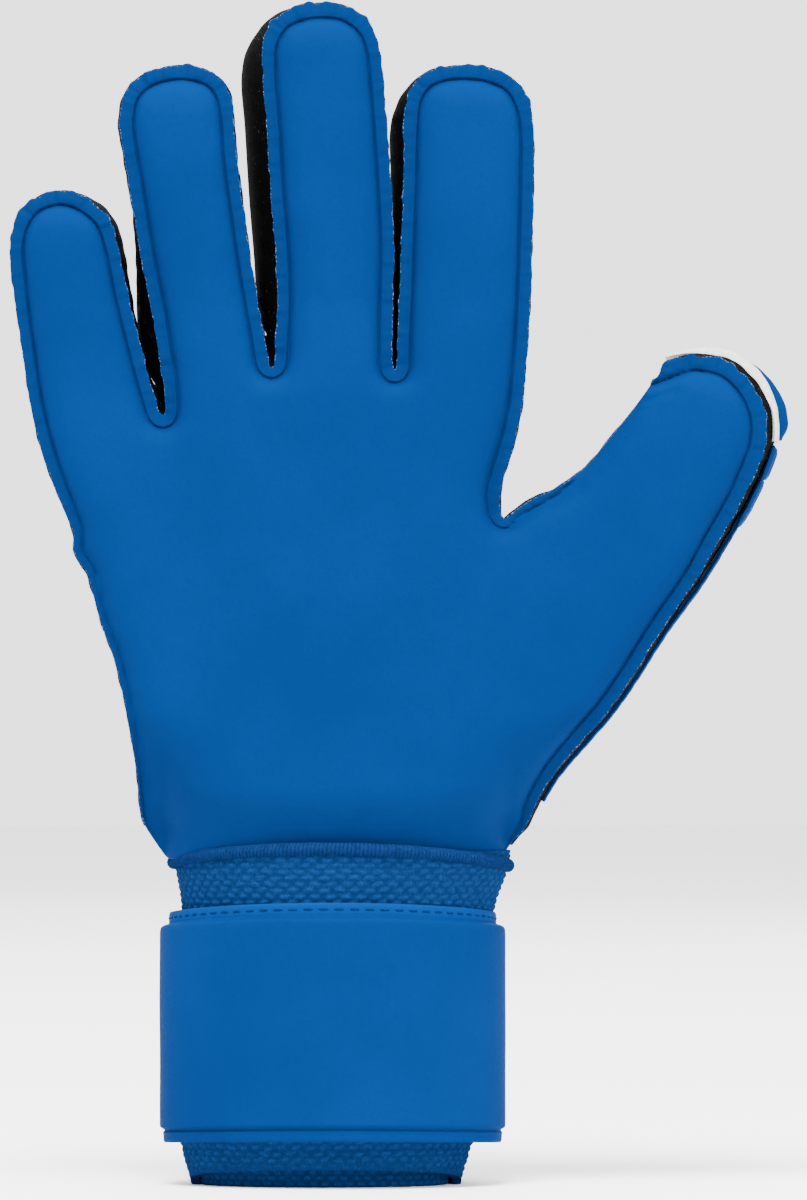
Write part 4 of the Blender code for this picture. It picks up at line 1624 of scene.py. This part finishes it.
def strap_outward(share, height, thickness):
    """How far the strap's outer face stands out at a share of its height.

    A thin sewn lip runs along the top, then a soft shoulder leads to the full thickness, and at the
    bottom a furrow parts off a narrow hem.
    """
    z = share * height
    shoulder = 1 - np.exp(-np.clip(height - LIP_HEIGHT - z, 0, None) / 0.45)
    body = thickness * (LIP_SHARE + (1 - LIP_SHARE) * shoulder)
    furrow = 1.1 * np.exp(-(((z - 3.1) / 0.5) ** 2))
    hem = 0.9 * (1 - smoothstep(1.8, 3.4, z))
    return body - furrow - hem


def strap_surface(angles, offset, low, height, thickness):
    """The strap as a closed band whose outer face follows strap_outward and inner face is smooth."""
    spans = ((0, 0.09, 22), (0.1, 0.9, 26), (0.905, 1, 26))
    share = np.concatenate([np.linspace(*span) for span in spans])[:, None]
    rim = 0.35 * (np.exp(-share * height / 0.3) + np.exp(-(1 - share) * height / 0.3))
    dents = 0.22 * mottle(angles[None] * 0.6, share * height, 34, 21) * np.sin(math.pi * share)
    outer = offset[None] + (strap_outward(share, height, thickness) - rim) + dents
    outward = np.concatenate([outer, offset[None] + rim[::-1]])
    both = np.broadcast_to(np.concatenate([share, share[::-1]]), outward.shape)
    values = {"below_top_mm": (1 - both) * height}
    high = low + height + palm_rise(angles, STRAP_ARCH)
    return swept(angles, np.stack([both, outward], -1), low, high, values)


class GLOVE_OT_strap(bpy.types.Operator):
    """The wrist strap: latex round the wrist, with a stitched lip along its top edge"""

    bl_idname = "glove.strap"
    bl_label = "Wrist strap"

    def execute(self, context):
        angles = np.linspace(STRAP_START, STRAP_HINGE - 360 + 0.8, 260)
        low = 10.6 + palm_rise(angles, 1.5)
        offset = np.full(len(angles), STRAP_GAP)
        surface = strap_surface(angles, offset, low, STRAP_HEIGHT, size("strap"))
        made = build("strap_latex", surface, finish("strap_latex"), 45)
        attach(made, "hand")
        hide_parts("strap")
        high = low + STRAP_HEIGHT + palm_rise(angles, STRAP_ARCH)
        stitches = self.stitches(angles, high - 1.6, size("strap") * LIP_SHARE)
        sewn = build("strap_stitches", stitches, finish("stitch"), 60)
        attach(sewn, "hand")
        return {"FINISHED"}

    def stitches(self, angles, heights, lip):
        """Dashes of thread along the lip: short capsules at an even pitch, half sunk in its face."""
        pitch, dash, thick = 3.2, 2.3, 0.32
        along_steps, round_steps = 9, 8
        outward = thick + lip
        count = int(perimeter(outward) * abs(angles[-1] - angles[0]) / 360 / pitch)
        centre = np.linspace(angles[0], angles[-1], count + 2)[1:-1, None, None]
        along = np.linspace(-1, 1, along_steps)[None, :, None]
        turn = np.linspace(0, 2 * math.pi, round_steps, endpoint=False)[None, None, :]
        slim = thick * np.sqrt(np.clip(1 - along**4, 0.02, 1))
        span = dash / 2 / perimeter(outward) * 360
        angle = centre + along * span + 0 * turn
        level = np.interp(-angle, -angles, heights)
        x, y = ellipse(angle, outward + slim * np.cos(turn), STRAP_X)
        z = level + slim * np.sin(turn)
        dashes = [grid_surface(p, closed_u=True) for p in np.stack([x, y, z], -1)]
        ring = np.arange(round_steps)
        last = ring[::-1] + round_steps * (along_steps - 1)
        for made in dashes:
            made.corners = np.concatenate([made.corners, ring, last])
            made.sizes = np.concatenate([made.sizes, [round_steps, round_steps]])
        return oriented(join(*dashes))


class GLOVE_OT_strap_end(bpy.types.Operator):
    """The strap's free end, the hook and loop patches between its layers, and the pull tab"""

    bl_idname = "glove.strap_end"
    bl_label = "Strap end and closure"

    def execute(self, context):
        thickness = size("strap")
        lift = thickness + 2.3
        angles = np.linspace(STRAP_HINGE - 0.8, STRAP_END, 120)
        rise = lift * smoothstep(STRAP_HINGE, STRAP_START + 3, angles)
        surface = strap_surface(angles, STRAP_GAP + rise, 11.0, STRAP_HEIGHT - 0.6, thickness)
        made = build("strap_end_latex", surface, finish("strap_latex"), 45)
        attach(made, "strap_end")
        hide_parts("strap_end")
        patches = (
            ("loop_pile", "hand", "loop_patch", STRAP_GAP + thickness + 0.95),
            ("hook_pile", "strap_end", "hook_patch", STRAP_GAP + lift - 0.1),
        )
        low, high = 19.0, 64.0
        for name, body, node, outward in patches:
            profile = round_profile(high - low, 0.95, outward, 0.3, 2.0)
            band = swept(np.linspace(104, 52, 60), profile, low, high)
            patch = build(name, band, finish("hook"), 45)
            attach(patch, body)
            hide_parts(node)
        angles = np.linspace(STRAP_END - 0.6, STRAP_END - 22.0, 40)
        middle, half_height = 42, 11.5
        taper = 1 - 0.35 * smoothstep(STRAP_END - 14, STRAP_END - 22, angles) ** 2
        half = half_height * taper
        profile = round_profile(2 * half_height, 2.2, STRAP_GAP + lift + 2.9, 0.9, 1.5)
        hug = -3.4 * smoothstep(STRAP_END - 3, STRAP_END - 20, angles)
        share, outward = profile[:, :1], profile[:, 1:] + hug[None]
        profile = np.stack([np.broadcast_to(share, outward.shape), outward], -1)
        tab = swept(angles, profile, middle - half, middle + half)
        pull = build("pull_tab_rubber", tab, finish("hook"), 45)
        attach(pull, "strap_end")
        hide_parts("pull_tab")
        return {"FINISHED"}


class GLOVE_OT_stage(bpy.types.Operator):
    """Floor, soft studio light, and a camera square to the palm"""

    bl_idname = "glove.stage"
    bl_label = "Stage"

    def execute(self, context):
        scene = context.scene
        half = 4.0
        square = [(-half, -half, 0), (half, -half, 0), (half, half, 0), (-half, half, 0)]
        mesh = bpy.data.meshes.new("floor")
        mesh.from_pydata(square, [], [(0, 1, 2, 3)])
        mesh.materials.append(finish("floor"))
        floor = bpy.data.objects.new("floor", mesh)
        scene.collection.objects.link(floor)
        world = bpy.data.worlds.new("studio")
        world.use_nodes = True
        background = world.node_tree.nodes["Background"]
        background.inputs["Color"].default_value = (1.0, 1.0, 1.0, 1)
        background.inputs["Strength"].default_value = 2.6
        scene.world = world
        lamps = (  # name, place and width in metres, power in watts
            ("key", (-0.2, -1.0, 2.1), 0.9, 230.0),
            ("fill", (1.5, -1.0, 0.8), 0.9, 34.0),
            ("rim", (0.2, 1.6, 1.4), 1.2, 40.0),
        )
        aim = Vector((0.0, 0.0, 0.15))
        for name, place, width, power in lamps:
            data = bpy.data.lights.new(name, "AREA")
            data.energy = power
            data.size = width
            lamp = bpy.data.objects.new(name, data)
            lamp.location = place
            lamp.rotation_euler = (aim - Vector(place)).to_track_quat("-Z", "Y").to_euler()
            scene.collection.objects.link(lamp)
        data = bpy.data.cameras.new("camera")
        data.lens = 300.0
        camera = bpy.data.objects.new("camera", data)
        camera.location = (0.0179, -2.5125, 0.1468)
        camera.rotation_euler = (math.pi / 2, 0, 0)
        scene.collection.objects.link(camera)
        scene.camera = camera
        return {"FINISHED"}


class GLOVE_PT_panel(bpy.types.Panel):
    """Sizes and colours of the glove, and a button for each of its pieces"""

    bl_idname = "GLOVE_PT_panel"
    bl_label = "Goalkeeper glove"
    bl_space_type = "VIEW_3D"
    bl_region_type = "UI"
    bl_category = "Glove"

    def draw(self, context):
        for group in (context.scene.glove_sizes, context.scene.glove_colours):
            for name in group.bl_rna.properties.keys():
                if name not in {"rna_type", "name"}:
                    self.layout.prop(group, name)
        for operator in OPERATORS:
            self.layout.operator(operator.bl_idname)


OPERATORS = (
    GLOVE_OT_palm,
    GLOVE_OT_back,
    GLOVE_OT_gussets,
    GLOVE_OT_thumb_wrap,
    GLOVE_OT_pads,
    GLOVE_OT_wristband,
    GLOVE_OT_seam_roll,
    GLOVE_OT_strap,
    GLOVE_OT_strap_end,
    GLOVE_OT_stage,
)
CLASSES = (GloveSizes, GloveColours, *OPERATORS, GLOVE_PT_panel)


def register():
    for made in CLASSES:
        bpy.utils.register_class(made)
    bpy.types.Scene.glove_sizes = PointerProperty(type=GloveSizes)
    bpy.types.Scene.glove_colours = PointerProperty(type=GloveColours)


def unregister():
    del bpy.types.Scene.glove_sizes
    del bpy.types.Scene.glove_colours
    for made in reversed(CLASSES):
        bpy.utils.unregister_class(made)


def corners(bounds):
    return [list(corner) for corner in bounds]


def main():
    register()
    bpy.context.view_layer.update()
    for operator in OPERATORS:
        group, name = operator.bl_idname.split(".")
        getattr(getattr(bpy.ops, group), name)()


if __name__ == "__main__":
    main()
